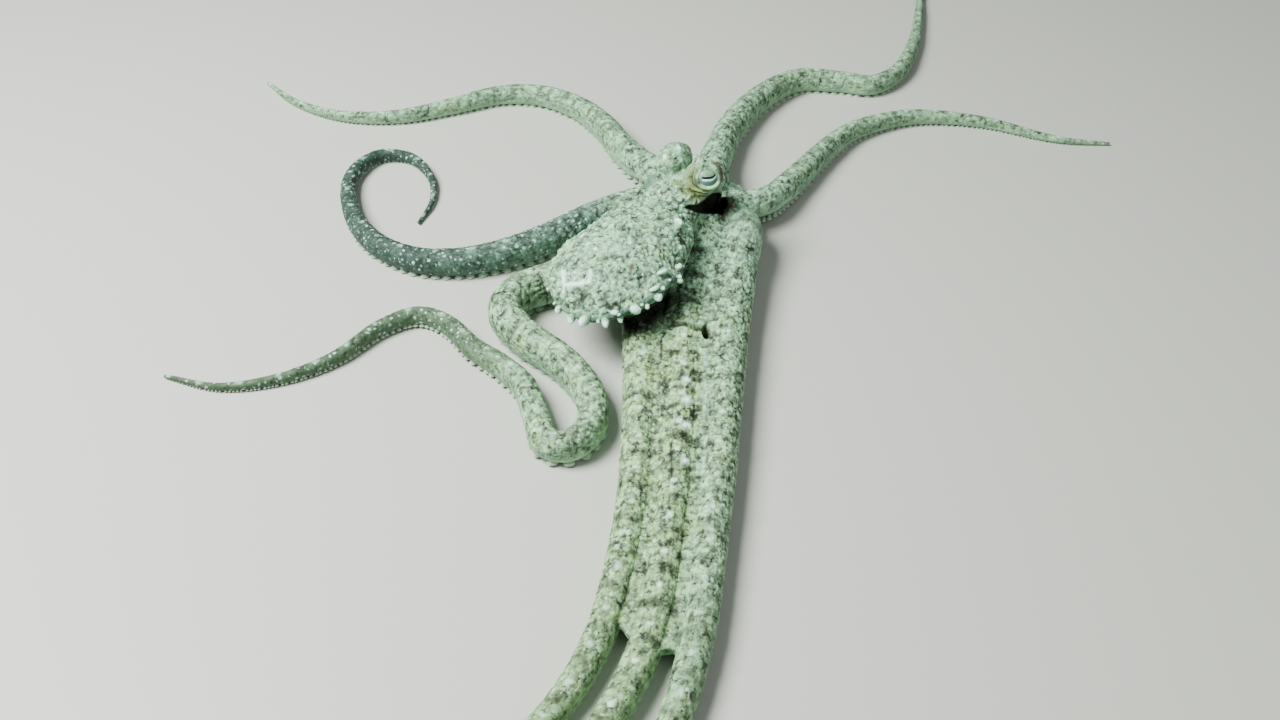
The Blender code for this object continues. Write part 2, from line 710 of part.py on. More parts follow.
def main():
    clear_scene()
    group = bpy.data.collections.new("octopus")
    bpy.context.scene.collection.children.link(group)
    skin = material("skin", SKIN)
    blue = material("blue_skin", BLUE_SKIN)
    eye_look = material("eye", EYE_COLOUR, 0.15)

    arms = {name: Arm(name) for name in ARM_ORDER}
    crown, web = make_crown(arms)
    lengths, near = [], []
    for arm in arms.values():
        chance = random.Random(arm.name)
        for i, (start, end) in enumerate(zip(arm.parts, arm.parts[1:]), 1):
            length = arm_tube(arm, f"{arm.name}_{i}", start, end)
            if i == 1:
                near.append(swollen(length))
            boolean(length, suckers(arm, start, end, chance, i), "UNION")
            keep_largest(length)
            lengths.append(length)
    eyes = make_eyes()
    body = make_head_and_mantle()
    funnel = make_funnel()
    boolean(body, [swollen(crown), swollen(web), *near], "DIFFERENCE")
    boolean(body, [swollen(eye) for eye in eyes] + [swollen(funnel)], "DIFFERENCE")
    boolean(funnel, [swollen(crown)], "DIFFERENCE")
    keep_largest(funnel)
    normal = (MANTLE_TIP - NECK_POINT).normalized()
    boolean(body, [slab("neck_cut", NECK_POINT, normal, 60 * MM)], "DIFFERENCE")
    middles = {"head": HEAD_CENTRE + Vector((0, 0, HEAD_MIDDLE)), "mantle": (NECK_POINT + MANTLE_TIP) / 2}
    head, mantle = split_loose(body, middles)
    for item in [crown, web, head, mantle, *lengths]:
        finish(item, group, skin)
    finish(funnel, group, blue)
    for eye in eyes:
        finish(eye, group, eye_look)


main()
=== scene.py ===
"""A long-armed sand octopus, life size, lying on the floor: its skin, suckers, eyes and funnel."""

import math
import random

import bmesh
import bpy
import numpy as np
from mathutils import Matrix, Vector, bvhtree, kdtree, noise


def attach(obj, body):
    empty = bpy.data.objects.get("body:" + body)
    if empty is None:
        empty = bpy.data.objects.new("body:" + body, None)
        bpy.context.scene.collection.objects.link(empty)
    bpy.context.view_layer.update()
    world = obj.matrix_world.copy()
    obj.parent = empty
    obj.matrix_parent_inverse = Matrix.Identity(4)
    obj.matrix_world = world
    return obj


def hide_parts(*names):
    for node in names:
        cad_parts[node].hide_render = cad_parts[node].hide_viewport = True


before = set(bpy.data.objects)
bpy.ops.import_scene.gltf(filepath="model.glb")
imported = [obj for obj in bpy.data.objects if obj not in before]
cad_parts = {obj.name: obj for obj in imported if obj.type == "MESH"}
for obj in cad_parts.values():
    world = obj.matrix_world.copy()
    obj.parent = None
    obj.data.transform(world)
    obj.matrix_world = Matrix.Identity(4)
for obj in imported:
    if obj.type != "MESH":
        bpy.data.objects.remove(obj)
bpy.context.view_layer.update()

# The camera
# It stands before the animal's right side, above the long arms that run towards it, and looks
# down at them by forty degrees.
FIELD_OF_VIEW = CAMERA_TILT = math.radians(50)
CAMERA_PLACE = (-0.0168, -0.3454, 0.240)
SENSOR_WIDTH = 36
link = bpy.context.scene.collection.objects.link
camera_data = bpy.data.cameras.new("camera")
camera_data.sensor_width = SENSOR_WIDTH
camera_data.lens = SENSOR_WIDTH / 2 / math.tan(FIELD_OF_VIEW / 2)
camera_data.clip_start = 0.01
camera = bpy.data.objects.new("camera", camera_data)
camera.location = CAMERA_PLACE
camera.rotation_euler = (CAMERA_TILT, 0, 0)
link(camera)
bpy.context.scene.camera = camera

# The arms' lines
# Eight arms of muscle leave a ring round the mouth. Each lies on the floor along its own curve
# and thins to a point, so that its line and thickness place its skin, suckers and markings.
MM = 0.001
ARM_STOUTNESS = 0.36
ARM_TIP_RADIUS = 0.45 * MM
ARM_TAPER = 0.85
ROOT_RISE, ROOT_RUN = 3 * MM, 22 * MM
SUCKER_STAND = 1.2 * MM
ARM_SPACING = 0.5 * MM
# The floor points, in mm, under each arm's middle line from the mouth to the tip, how far its
# rows of suckers turn outwards towards the tip, in degrees, and where its web ends, in mm.
ARMS = {
    "arm_r1": (
        [(9, 3), (21, 7), (31, 22), (44, 43), (56, 57), (76, 66), (99, 64), (122, 54), (140, 52)], 0, 18),
    "arm_r2": (
        [(8, -4), (12.8, -12), (10.8, -28), (7.5, -54), (4.6, -81), (2, -107), (-1, -132), (-4.5, -158),
         (-11, -181), (-21, -198), (-35, -213), (-55, -226), (-80, -233), (-105, -234), (-128, -227)], 0, 60),
    "arm_r3": (
        [(3, -9), (0.2, -24), (-2.8, -42), (-5, -61), (-6, -81), (-8, -107), (-10.5, -130), (-14.5, -156),
         (-24, -179), (-36, -193), (-54, -206), (-76, -215), (-100, -218), (-124, -213),
         (-146, -203)], 0, 60),
    "arm_r4": (
        [(-4, -9), (-11, -26), (-15.5, -43), (-16.5, -62), (-16.5, -81), (-17.5, -106), (-20, -130),
         (-26, -158), (-37, -179), (-51, -190), (-71, -199), (-94, -203), (-118, -199), (-140, -189)], 0, 60),
    "arm_l4": (
        [(-9, -3), (-25, -18), (-41, -31), (-51, -37), (-54, -46), (-48, -56), (-37, -67), (-30, -79),
         (-29, -90), (-34, -97.5), (-40.5, -96), (-43.5, -86), (-47, -75), (-54, -66), (-62, -58.5),
         (-70, -48), (-79, -43.5), (-89, -49), (-99, -61), (-112, -69), (-128, -72), (-144, -67)], 14, 30),
    "arm_l3": (
        [(-8, 4), (-20, 4), (-32, -1), (-44, -9), (-56, -16), (-70, -20), (-84, -18), (-97, -8),
         (-106, 9), (-109, 28), (-103, 41), (-92, 41), (-84, 30), (-82, 17), (-85, 5)], 8, 24),
    "arm_l2": (
        [(-3, 9), (-9, 20), (-16, 30), (-23, 43), (-29, 57), (-38, 70), (-51, 79), (-66, 80),
         (-82, 73), (-99, 67), (-118, 68), (-136, 78), (-150, 94)], 0, 26),
    "arm_l1": (
        [(4, 8), (6, 22), (8, 36), (14, 56), (24, 75), (38, 89), (53, 89), (65, 87), (76, 98),
         (84, 118), (90, 142), (95, 166), (104, 188)], 0, 27),
}


def smooth_line(corners, step):
    """Places a step apart on the smooth curve through these corners, and how far along each is."""
    corners = np.array(corners, float)
    ends = np.vstack([2 * corners[0] - corners[1], corners, 2 * corners[-1] - corners[-2]])
    t = np.linspace(0, 1, 24, endpoint=False)[:, None]
    line = []
    for before, start, end, after in zip(ends, ends[1:], ends[2:], ends[3:]):
        bend = 2 * before - 5 * start + 4 * end - after
        curve = t * (bend + t * (3 * start - before - 3 * end + after))
        line.append(start + 0.5 * t * (end - before + curve))
    line = np.vstack(line + [corners[-1:]])
    along = np.concatenate([[0], np.cumsum(far(np.diff(line, axis=0)))])
    count = round(along[-1] / step)
    even = np.linspace(0, along[-1], count + 1)
    return np.column_stack([np.interp(even, along, axis) for axis in line.T]), even


def unit(rows):
    return rows / np.maximum(np.linalg.norm(rows, axis=-1, keepdims=True), 1e-12)


def dot(a, b):
    return np.sum(a * b, axis=-1)


def far(rows):
    """How long each of these steps is."""
    return np.linalg.norm(rows, axis=-1)


def ease(low, high, x):
    """Nought at low and one at high, smooth between them. High may be the smaller."""
    t = np.clip((x - low) / (high - low), 0, 1)
    return t * t * (3 - 2 * t)


def upright(way):
    """The level direction across a way, and the direction at right angles to both."""
    level = unit(np.cross([0, 0, 1], way))
    return level, np.cross(way, level)


def circle(count):
    """This many turns, evenly all the way round."""
    return np.linspace(0, math.tau, count, endpoint=False)


def spokes(turns, first, second, reach=1.0, flatness=1.0):
    """Steps out at these turns, in the plane of two directions, as far as reach says."""
    return (np.cos(turns) * reach)[:, None] * first + (np.sin(turns) * reach * flatness)[:, None] * second


class ArmLine:
    """An arm's middle line as close places, each with its radius, directions and turn."""

    def __init__(self, corners, turn, web):
        flat, self.along = smooth_line(np.array(corners) * MM, ARM_SPACING)
        self.web = web * MM
        self.length = self.along[-1]
        share = self.along / self.length
        root = ARM_STOUTNESS * math.sqrt(self.length * MM)
        self.radius = ARM_TIP_RADIUS + (root - ARM_TIP_RADIUS) * (1 - share) ** ARM_TAPER
        self.stand = SUCKER_STAND * (0.2 + 0.8 * self.radius / root)
        self.turn = math.radians(turn) * ease(0, 1, share)
        rim = (self.radius + self.stand) * np.cos(self.turn) + 0.95 * self.radius * np.sin(self.turn)
        height = np.maximum(self.radius, rim) + ROOT_RISE * np.exp(-((self.along / ROOT_RUN) ** 2))
        self.place = np.column_stack([flat, height])
        self.ahead = unit(np.gradient(self.place, axis=0))
        self.side, self.up = upright(self.ahead)

    def at(self, s):
        """The index of the place this far along."""
        return min(len(self.along) - 1, max(0, round(s / ARM_SPACING)))


arms = {name: ArmLine(*plan) for name, plan in ARMS.items()}

# The flesh
# The body is a head with two raised eyes, a soft bag behind it, and a web that joins the arms'
# roots. All of it is one form of muscle under one skin, made as overlapping solids that melt
# into one surface.
FACING = math.radians(41)
HEAD_PLACE = Vector((-2.5, -4.5, 0)) * MM
HEAD_RADII = Vector((8.55, 9, 11)) * MM
EYE_RADIUS = 4.2 * MM
EYE_HEIGHT = 26.5 * MM
EYE_SPACING = 12.5 * MM
EYE_OUT = 1.2 * MM
NECK = Vector((-9, -16, 20)) * MM
BAG_TIP = Vector((-33, -62, 16.5)) * MM
BAG_LENGTH, BAG_WIDTH, BAG_HEIGHT = 60 * MM, 36 * MM, 18 * MM
CROWN_RADIUS, CROWN_HEIGHT = 15 * MM, 13 * MM
SHOULDER_PLACE = Vector((11.5, -12.5, 6)) * MM
SHOULDER_RADII = Vector((10, 7.2, 7.5)) * MM
WEB_THICKNESS, WEB_DROP = 3.2 * MM, 0.4 * MM
# The skin that fills the grooves between the rear arms: the lines across them where it starts,
# thins and ends, and how high it stands in the groove at first and at last, as a share of the
# thinner arm's radius
BUNDLE_FROM, BUNDLE_THINS, BUNDLE_TO = -16 * MM, -70 * MM, -168 * MM
BUNDLE_ROWS, BUNDLE_COLUMNS = 60, 14
BUNDLE_FULL, BUNDLE_THIN = 0.80, 0.44
TURRET_RADII, TURRET_FOOT_RADII = (6 * MM, 5.2 * MM, 5 * MM), (5.6 * MM, 5.2 * MM, 7 * MM)
# Two points of skin stand over each eye: how far inwards and how high, in mm
TURRET_POINTS = ((1.2, 2.4), (3.6, 1.8))
NECK_BALL, NECK_RADII = NECK + Vector((1, 2, -1)) * MM, (11 * MM, 9.5 * MM, 7.5 * MM)
VOXEL = 0.45 * MM
TUBE_SIDES = 28
THINNEST = 0.62 * MM
# How far, in mm, the web between each arm and the next one reaches
WEB_REACH = dict(zip(ARMS, (15, 60, 60, 16, 17, 17, 18, 17)))


def ring_mesh(rings):
    """Points and faces of a closed form through rings of equally many points."""
    count = len(rings[0])
    last = (len(rings) - 1) * count
    faces = []
    for start in range(0, last, count):
        for j in range(count):
            k = (j + 1) % count
            faces.append((start + j, start + k, start + count + k, start + count + j))
    faces.append(tuple(range(count - 1, -1, -1)))
    faces.append(tuple(range(last, last + count)))
    return np.vstack(rings), faces


def joined(forms):
    """Many forms' points and faces as one."""
    points, faces, first = [], [], 0
    for form_points, form_faces in forms:
        points.append(form_points)
        faces += [tuple(v + first for v in face) for face in form_faces]
        first += len(form_points)
    return np.vstack(points), faces


def shape_object(name, points, faces):
    mesh = bpy.data.meshes.new(name)
    mesh.from_pydata(points.tolist(), [], faces)
    mesh.shade_smooth()
    made = bpy.data.objects.new(name, mesh)
    link(made)
    return made


def arm_form(arm):
    """A round tube along an arm, never thinner than the surface's own grain can hold."""
    rings = []
    for i in range(0, len(arm.place), 2):
        out = spokes(circle(TUBE_SIDES), arm.up[i], arm.side[i])
        rings.append(arm.place[i] + max(THINNEST, arm.radius[i]) * out)
    return ring_mesh(rings)


def ball_form(centre, radii, turn=0.0, pitch=0.0, segments=48):
    """A ball stretched to these radii, turned about the vertical and then tipped."""
    way = Matrix.Rotation(turn, 3, "Z") @ Matrix.Rotation(pitch, 3, "Y") @ Matrix.Diagonal(radii)
    first, second, up = np.array(way).T
    rings = []
    for tilt in np.linspace(0.02, math.pi - 0.02, segments // 2):
        middle = np.array(centre) - up * math.cos(tilt)
        rings.append(middle + spokes(circle(segments), first, second, math.sin(tilt)))
    return ring_mesh(rings)


def web_form(first, second, reach):
    """The sheet between two arms' roots, with a free edge that sags in where they stand apart."""
    rows, columns = 60, 24
    ends = [min(reach, arm.web + 1.5 * MM) for arm in (first, second)]
    apart = far(first.place[first.at(ends[0])] - second.place[second.at(ends[1])])
    sag = 0.9 * min(1, max(0, apart / (12 * MM) - 1))
    rings = []
    for i in range(rows + 1):
        share = np.linspace(0, 1, columns)
        out = i / rows * (1 - sag * share * (1 - share))
        line = []
        for t, reached in zip(share, out):
            a = first.place[first.at(ends[0] * reached)]
            b = second.place[second.at(ends[1] * reached)]
            line.append(a + (b - a) * t)
        line = np.array(line) - [0, 0, WEB_DROP]
        half = np.array([0, 0, (WEB_THICKNESS - MM * i / rows) / 2])
        rings.append(np.vstack([line - half, (line + half)[::-1]]))
    return ring_mesh(rings)


def bundle_form(first, second):
    """The skin that fills the groove between two arms that lie side by side."""
    rings = []
    for y in np.linspace(BUNDLE_FROM, BUNDLE_TO, BUNDLE_ROWS):
        ends, radii = [], []
        for arm in (first, second):
            i = int(np.argmin(np.abs(arm.place[: len(arm.place) // 2, 1] - y)))
            ends.append(arm.place[i])
            radii.append(arm.radius[i])
        share = np.linspace(0, 1, BUNDLE_COLUMNS)[:, None]
        line = ends[0] + (ends[1] - ends[0]) * share
        stand = BUNDLE_FULL + (BUNDLE_THIN - BUNDLE_FULL) * ease(BUNDLE_THINS, BUNDLE_TO, y)
        half = np.array([0, 0, stand * min(radii)])
        rings.append(np.vstack([line - half * 0.8, (line + half)[::-1]]))
    return ring_mesh(rings)


def head_side(sign):
    """The level direction out to the animal's right (-1) or left (1)."""
    return Vector((-math.sin(FACING), math.cos(FACING), 0)) * sign


def eye_place(sign):
    return HEAD_PLACE + head_side(sign) * EYE_SPACING / 2 + Vector((0, 0, EYE_HEIGHT))


bag_way = (BAG_TIP - NECK).normalized()
bag_turn = math.atan2(bag_way.y, bag_way.x)
bag_pitch = -math.asin(bag_way.z)
bag_axes = np.array(Matrix.Rotation(bag_turn, 3, "Z") @ Matrix.Rotation(bag_pitch, 3, "Y"))


def bag_ball(share, length, width):
    """The middle and the radii of a ball this far along the bag, as shares of its own measures."""
    radii = Vector((BAG_LENGTH * length, BAG_WIDTH * width, BAG_HEIGHT * (0.9 + 0.1 * width))) / 2
    return NECK + (BAG_TIP - NECK) * share, radii


wide_ball = bag_ball(0.60, 0.66, 1.0)
bag_middle, bag_size = (np.array(part) for part in wide_ball)
forms = [arm_form(arm) for arm in arms.values()]
names = list(ARMS)
for name, following in zip(names, names[1:] + names[:1]):
    forms.append(web_form(arms[name], arms[following], WEB_REACH[name] * MM))
    if name in ("arm_r2", "arm_r3"):
        forms.append(bundle_form(arms[name], arms[following]))
forms += [
    ball_form((0, 0, 0.45 * CROWN_HEIGHT), (CROWN_RADIUS, CROWN_RADIUS, 0.55 * CROWN_HEIGHT)),
    ball_form(SHOULDER_PLACE, SHOULDER_RADII, math.radians(-80)),
    ball_form(HEAD_PLACE + Vector((0, 0, 15 * MM)), HEAD_RADII, FACING),
]
for sign in (-1, 1):
    forms.append(ball_form(eye_place(sign), TURRET_RADII, FACING))
    forms.append(ball_form(eye_place(sign) - Vector((0, 0, 5 * MM)), TURRET_FOOT_RADII, FACING))
    for inwards, height in TURRET_POINTS:
        point = eye_place(sign) + Vector((0, 0, 4.4 * MM)) - head_side(sign) * inwards * MM
        forms.append(ball_form(point, (1.1 * MM, 1.0 * MM, height * MM), segments=16))
forms += [
    ball_form(NECK_BALL, NECK_RADII, math.radians(243)),
    ball_form(*bag_ball(0.46, 0.86, 0.86), bag_turn, bag_pitch),
    ball_form(*wide_ball, bag_turn, bag_pitch),
]

skin = shape_object("skin", *joined(forms))
melt = skin.modifiers.new("one surface", "REMESH")
melt.mode = "VOXEL"
melt.voxel_size = VOXEL
soften = skin.modifiers.new("soften", "SMOOTH")
soften.factor = 0.5
soften.iterations = 8
bpy.context.view_layer.update()
mesh = bpy.data.meshes.new_from_object(skin.evaluated_get(bpy.context.evaluated_depsgraph_get()))
skin.modifiers.clear()
skin.data = mesh


def vertex_rows(source, what):
    rows = np.empty(len(source) * 3)
    source.foreach_get(what, rows)
    return rows.reshape(-1, 3)


def bag_frame(rows):
    """Places in the bag's own frame, as shares of its three radii."""
    return (rows - bag_middle) @ bag_axes / bag_size


def from_head(rows):
    """How far places are from the middle line between the eyes and the chin."""
    return far((rows - np.array(HEAD_PLACE)) * [1, 1, 0.5] - [0, 0, 10 * MM])


# The faces of the bag, the head and the rear arms are split into four, to hold finer relief
rows = vertex_rows(mesh.vertices, "co")
x, y, z = rows.T
split = (far(bag_frame(rows) * [0.75, 0.9, 0.8]) < 1.05) & (z > 6 * MM)
split |= from_head(rows) < 19 * MM
split |= (x > -26 * MM) & (x < 24 * MM) & (y > -150 * MM) & (y < -5 * MM) & (z > 3 * MM)
work = bmesh.new()
work.from_mesh(mesh)
edges = {e for f in work.faces if all(split[v.index] for v in f.verts) for e in f.edges}
bmesh.ops.subdivide_edges(work, edges=list(edges), cuts=1, use_grid_fill=True)
work.to_mesh(mesh)
work.free()

# The skin's relief
# A living skin is never smooth: pebbled lumps cover the bag, finer grains the arms, and folds
# ring the eyes. Each is a push of the surface along its own way out, worked out place by place.
LUMP_SIZE, LUMP_HEIGHT = 1.65 * MM, 0.52 * MM
GRAIN_SIZE, GRAIN_HEIGHT = 0.85 * MM, 0.20 * MM
SWELL_SIZE, SWELL_HEIGHT = 6 * MM, 0.55 * MM
POINT_SPACING, POINT_HEIGHT = 3.2 * MM, 0.85 * MM
LID_OPENING = math.radians(39)
LID_STAND, LOWER_LID_STAND = 0.14 * MM, 0.50 * MM
FOLD_SPACING, FOLD_HEIGHT = math.radians(11), 0.38 * MM
# The way into the body's cavity: its middle, the way it faces, its depth, and its outline in mm
# across and up, seen along that way
HOLE_MIDDLE = np.array((3.2, -10.5, 18.2)) * MM
HOLE_WAY = unit(np.array((-0.05, -0.833, 0.552)))
HOLE_DEPTH, HOLE_TAIL_DEPTH = 6.5 * MM, 1.8 * MM
HOLE_OUTLINE = MM * np.array((
    (-7.3, -1.2), (-5.5, -0.3), (-3.5, -0.1), (-1.8, 0.9), (-0.6, 2.3), (0.9, 3.3), (2.6, 3.6), (4.4, 2.9),
    (5.5, 1.2), (5.8, -0.3), (4.8, -1.8), (4.2, -3.2), (2.6, -2.9), (-0.3, -3.0), (-3.2, -2.8), (-5.5, -2.0),
))
# A deep gap stays open between the second and third right arms; its inside is painted dark
# red-brown, as shade
GAP_PLACE, GAP_RADII, GAP_DEPTH = np.array((0.9, -59.8)) * MM, np.array((1.1, 2.7)) * MM, 5 * MM
MOUTH_RADIUS, MOUTH_DEPTH, LIP_RISE, LIP_PLEATS = 2.4 * MM, 4 * MM, 0.5 * MM, 22
SQUARENESS = 3.0
REAR_FLATNESS = 0.13
RIDGE_RISE, TUCK_DEPTH, RING_HEIGHT = 0.6 * MM, 1.7 * MM, 0.10 * MM
# The bag's lower edge, as turns round the bag and rises above its middle level, in degrees
EDGE_TURNS = (-75, -40, 10, 26, 41, 52, 64, 73, 85, 103, 125)
EDGE_RISES = (-8, -12, -9, 2, 8, 11, 14, 15, 17, 6, -4)
EDGE_BAND = 3.0 * MM

rows = vertex_rows(mesh.vertices, "co")
every = {
    what: np.concatenate([getattr(arm, what) for arm in arms.values()])
    for what in ("place", "ahead", "side", "up", "radius", "along")
}
every["number"] = np.repeat(range(len(names)), [len(arm.along) for arm in arms.values()])
reaches = [max(WEB_REACH[name], WEB_REACH[names[i - 1]]) * MM for i, name in enumerate(names)]
every["web"] = np.array(reaches)[every["number"]]

finder = kdtree.KDTree(len(every["place"]))
for i, place in enumerate(every["place"].tolist()):
    finder.insert(place, i)
finder.balance()
# What the arms' lines say at the place on them that is nearest to each part of the skin
found = np.array([finder.find(row)[1] for row in rows.tolist()])
near = {what: values[found] for what, values in every.items()}
along, number, radius = near["along"], near["number"], near["radius"]
offset = rows - near["place"]
offset -= near["ahead"] * dot(offset, near["ahead"])[:, None]
spread = far(offset)
turn = np.arctan2(dot(offset, near["side"]), dot(offset, near["up"]))
around = turn * radius


def set_rows(rows):
    mesh.vertices.foreach_set("co", rows.ravel())
    mesh.update()


# Where an arm lies free of webs and body, its surface is brought to the arm's own thickness
bag = bag_frame(rows)
bag_reach = far(bag)
free = ease(3 * MM, 12 * MM, along - near["web"]) * ease(1.1, 1.35, bag_reach)
free *= ease(17 * MM, 21 * MM, from_head(rows))
free *= ease(0.60 * MM, 0.30 * MM, spread - radius)
# The under side of an arm is flat and broad, so that its flanks hide the roots of the suckers
low = radius + 0.55 * SUCKER_STAND * radius / (6 * MM)
lean, drop = np.abs(np.sin(turn)), np.maximum(-np.cos(turn), 0)
square = ((lean / radius) ** SQUARENESS + (drop / low) ** SQUARENESS) ** (-1 / SQUARENESS)
wanted = np.where(np.abs(turn) > math.pi / 2, square, radius)
thin = wanted / np.maximum(spread, 0.05 * MM) - 1
rows = rows + offset * (free * thin)[:, None]
# The rear arms are pressed flat on top
pressed = np.isin(number, (1, 2, 3)) * ease(10 * MM, 50 * MM, along)
pressed *= ease(1.1, 1.35, bag_reach) * ease(230 * MM, 180 * MM, along)
rows[:, 2] -= REAR_FLATNESS * pressed * np.maximum(dot(offset, near["up"]), 0)
set_rows(rows)
outward = vertex_rows(mesh.vertex_normals, "vector")


def wave(rows, size, seed=0.0):
    """Soft noise from -1 to 1 with swells of about this size."""
    return np.array([noise.noise(row) for row in (rows / size + seed).tolist()])


def hashed(cell, seed):
    """A number from nought to one that belongs to each cell."""
    return np.modf(np.abs(np.sin(cell @ (12.9898, 78.233, 37.719) + seed * 17.17) * 43758.5453))[0]


def grains(rows, size, seed, least, most):
    """How high each place stands on round grains of mixed sizes, scattered in cells of this size."""
    spot = rows / size
    corner = np.floor(spot)
    best = np.zeros(len(rows))
    for step in np.ndindex(3, 3, 3):
        cell = corner + step - 1
        middle = cell + np.column_stack([hashed(cell, seed + axis) for axis in range(3)])
        reach = least + (most - least) * hashed(cell, seed + 3)
        rise = 1 - dot(spot - middle, spot - middle) / reach**2
        best = np.maximum(best, np.maximum(rise, 0) ** 0.7 * (0.45 + 0.55 * hashed(cell, seed + 4)))
    return best


on_arm = ease(3.0 * MM, 0.6 * MM, spread - radius)
on_arm *= ease(1.02, 1.12, bag_reach) * ease(13 * MM, 18 * MM, from_head(rows))
body_share = 1 - on_arm
bag_turns = np.degrees(np.arctan2(bag[:, 1], bag[:, 0]))
edge_rise = np.radians(np.interp(bag_turns, EDGE_TURNS, EDGE_RISES))
above_edge = (np.arcsin(np.clip(bag[:, 2] / bag_reach, -1, 1)) - edge_rise) * 13 * MM
by_edge = ease(-40, 0, bag_turns) * ease(122, 106, bag_turns) * ease(1.3, 1.12, bag_reach)
ridge = by_edge * np.exp(-(((above_edge - 1.1 * MM) / (1.2 * MM)) ** 2))
edge = by_edge * ease(-0.9 * MM, 0.1 * MM, above_edge) * ease(EDGE_BAND, 0.6 * EDGE_BAND, above_edge)
# Below the bag's edge the skin tucks in; that skin is also painted dark later, as shade
tucked = by_edge * ease(-0.4 * MM, -2.2 * MM, above_edge)

warp = np.column_stack([wave(rows, 1.6 * MM, seed) for seed in (1.5, 7.5, 13.5)]) * 0.35 * MM
lump = grains(rows + warp, LUMP_SIZE, 1, 0.50, 0.92)
grain = grains(rows + warp, GRAIN_SIZE, 2, 0.42, 0.80)
point = grains(rows, POINT_SPACING, 6, 0.16, 0.36)
crumble = wave(rows, 0.9 * MM, 5.0)
swell = wave(rows, SWELL_SIZE, 3.0)

under = ease(0.15, -0.5, outward[:, 2])
eye_far, eye_near = np.array(eye_place(1)), np.array(eye_place(-1))
turret_far = ease(8 * MM, 6 * MM, far(rows - eye_far))
turret_near = ease(8 * MM, 6 * MM, far(rows - eye_near))
brow = ease(1.7 * MM, 3.7 * MM, (rows - eye_near) @ unit(np.array((0.25, 0.1, 1.0))))
shoulder = ease(10 * MM, 6 * MM, far(rows - np.array((13.5, -16, 13)) * MM))
smooth = np.maximum.reduce([
    np.clip(edge * 0.85 + under, 0, 1), 0.45 * turret_far, (0.92 - 0.55 * brow) * turret_near, 0.6 * shoulder,
])

rough = 1 - smooth
thickness = np.clip(radius / (5 * MM), 0.12, 1)
push = LUMP_HEIGHT * (lump - 0.55) + SWELL_HEIGHT * swell + POINT_HEIGHT * point
push *= body_share * rough
push += rough * (GRAIN_HEIGHT * (grain - 0.4) + 0.07 * MM * crumble) * (body_share + on_arm * thickness)
push += on_arm * rough * thickness * 0.55 * LUMP_HEIGHT * (lump - 0.55)
# Fine rings of slack skin lie across the arms
ring_place = np.column_stack([along * 2.2, around * 0.5, number * 0.03])
push += on_arm * free * thickness * RING_HEIGHT * wave(ring_place, 1.6 * MM)
push += ridge * RIDGE_RISE - tucked * TUCK_DEPTH * body_share
rows = rows + outward * push[:, None]


def lift_lids(rows, sign, heading, rise):
    """Rolls the skin into lids round one eye. Returns the places, and how much each belongs to
    the lower lid's rim, to a fold's crease, to the slack folds and to the eye's socket."""
    centre = np.array(eye_place(sign) + head_side(sign) * EYE_OUT)
    out, across, up = eye_axes(heading, rise)
    spoke = rows - centre
    reach = far(spoke)
    tilt = np.arccos(np.clip(dot(spoke, out) / reach, -1, 1))
    turn = np.arctan2(dot(spoke, up), dot(spoke, across))
    low = 0.5 - 0.5 * np.sin(turn)
    by_low = ease(0.3, 0.75, low)
    past = np.degrees(tilt - LID_OPENING) - 1.5 * np.cos(2 * turn)
    width = 8 + 5 * low
    lid = EYE_RADIUS - 0.8 * MM + (0.8 * MM + LID_STAND + LOWER_LID_STAND * low) * ease(-4, 1.5, past)
    lid += (0.04 + 0.20 * by_low) * MM * np.sin(np.pi * np.clip(past / width, 0, 1))
    groove = by_low * np.exp(-(((past - width - 2.5) / 2.4) ** 2))
    lid -= 0.38 * MM * groove
    # Over the eye the lid runs at once into the bumpy brow, below it into slack folds
    to_skin = ease(0, 1, (past - width * (0.3 + 0.5 * low)) / (14 + 12 * low))
    left = ease(-0.05, 0.75, np.cos(turn - math.radians(198)))
    slack = left * ease(7, 13, past) * ease(84, 58, past)
    slack += 0.30 * by_low * (1 - left) * ease(9, 14, past) * ease(30, 18, past)
    folds = np.sin((past + 5 * wave(rows, 3.2 * MM, 21.0)) / math.degrees(FOLD_SPACING) * math.tau)
    reached = lid + (reach - lid) * to_skin + slack * FOLD_HEIGHT * folds
    touched = (reach < 9.5 * MM) & (tilt < math.radians(150))
    rim = touched * ease(-3, 0, past) * ease(width * 1.15, width * 0.8, past) * ease(0.62, 0.90, low)
    crease = touched * (slack * ease(0.50, 0.98, -folds) + 0.8 * groove)
    grown = np.where(touched, reached / reach, 1)
    return centre + spoke * grown[:, None], rim, crease, slack * touched * left, touched * ease(-1, -5, past)


def eye_axes(heading, rise):
    """An eye's way out, the way to the right of one who looks at it, and its way up."""
    out = np.array((math.cos(heading) * math.cos(rise), math.sin(heading) * math.cos(rise), math.sin(rise)))
    return out, *upright(out)


EYE_LOOKS = {
    -1: (FACING - math.radians(124), math.radians(40)),
    1: (FACING + math.radians(92), math.radians(12)),
}
lids = np.zeros((4, len(rows)))
for sign, looks in EYE_LOOKS.items():
    rows, *shares = lift_lids(rows, sign, *looks)
    lids = np.maximum(lids, shares)
# The eyes' sockets, inside the lids' rims, are painted dark later, as shade
lower_rim, crease, slackness, socket = lids


def along_line(spots, a, b):
    """What is left of the way from the line between a and b to each of these places."""
    share = np.clip((spots - a) @ (b - a) / dot(b - a, b - a), 0, 1)
    return spots - a - share[:, None] * (b - a)


def inside_outline(spots, corners):
    """How far inside a closed outline each place is, less than nought outside."""
    away, inside = np.full(len(spots), np.inf), np.zeros(len(spots), bool)
    for a, b in zip(corners, np.roll(corners, -1, axis=0)):
        away = np.minimum(away, far(along_line(spots, a, b)))
        passed = (a[1] > spots[:, 1]) != (b[1] > spots[:, 1])
        inside ^= passed & (spots[:, 0] < a[0] + (spots[:, 1] - a[1]) / (b[1] - a[1]) * (b[0] - a[0]))
    return np.where(inside, away, -away)


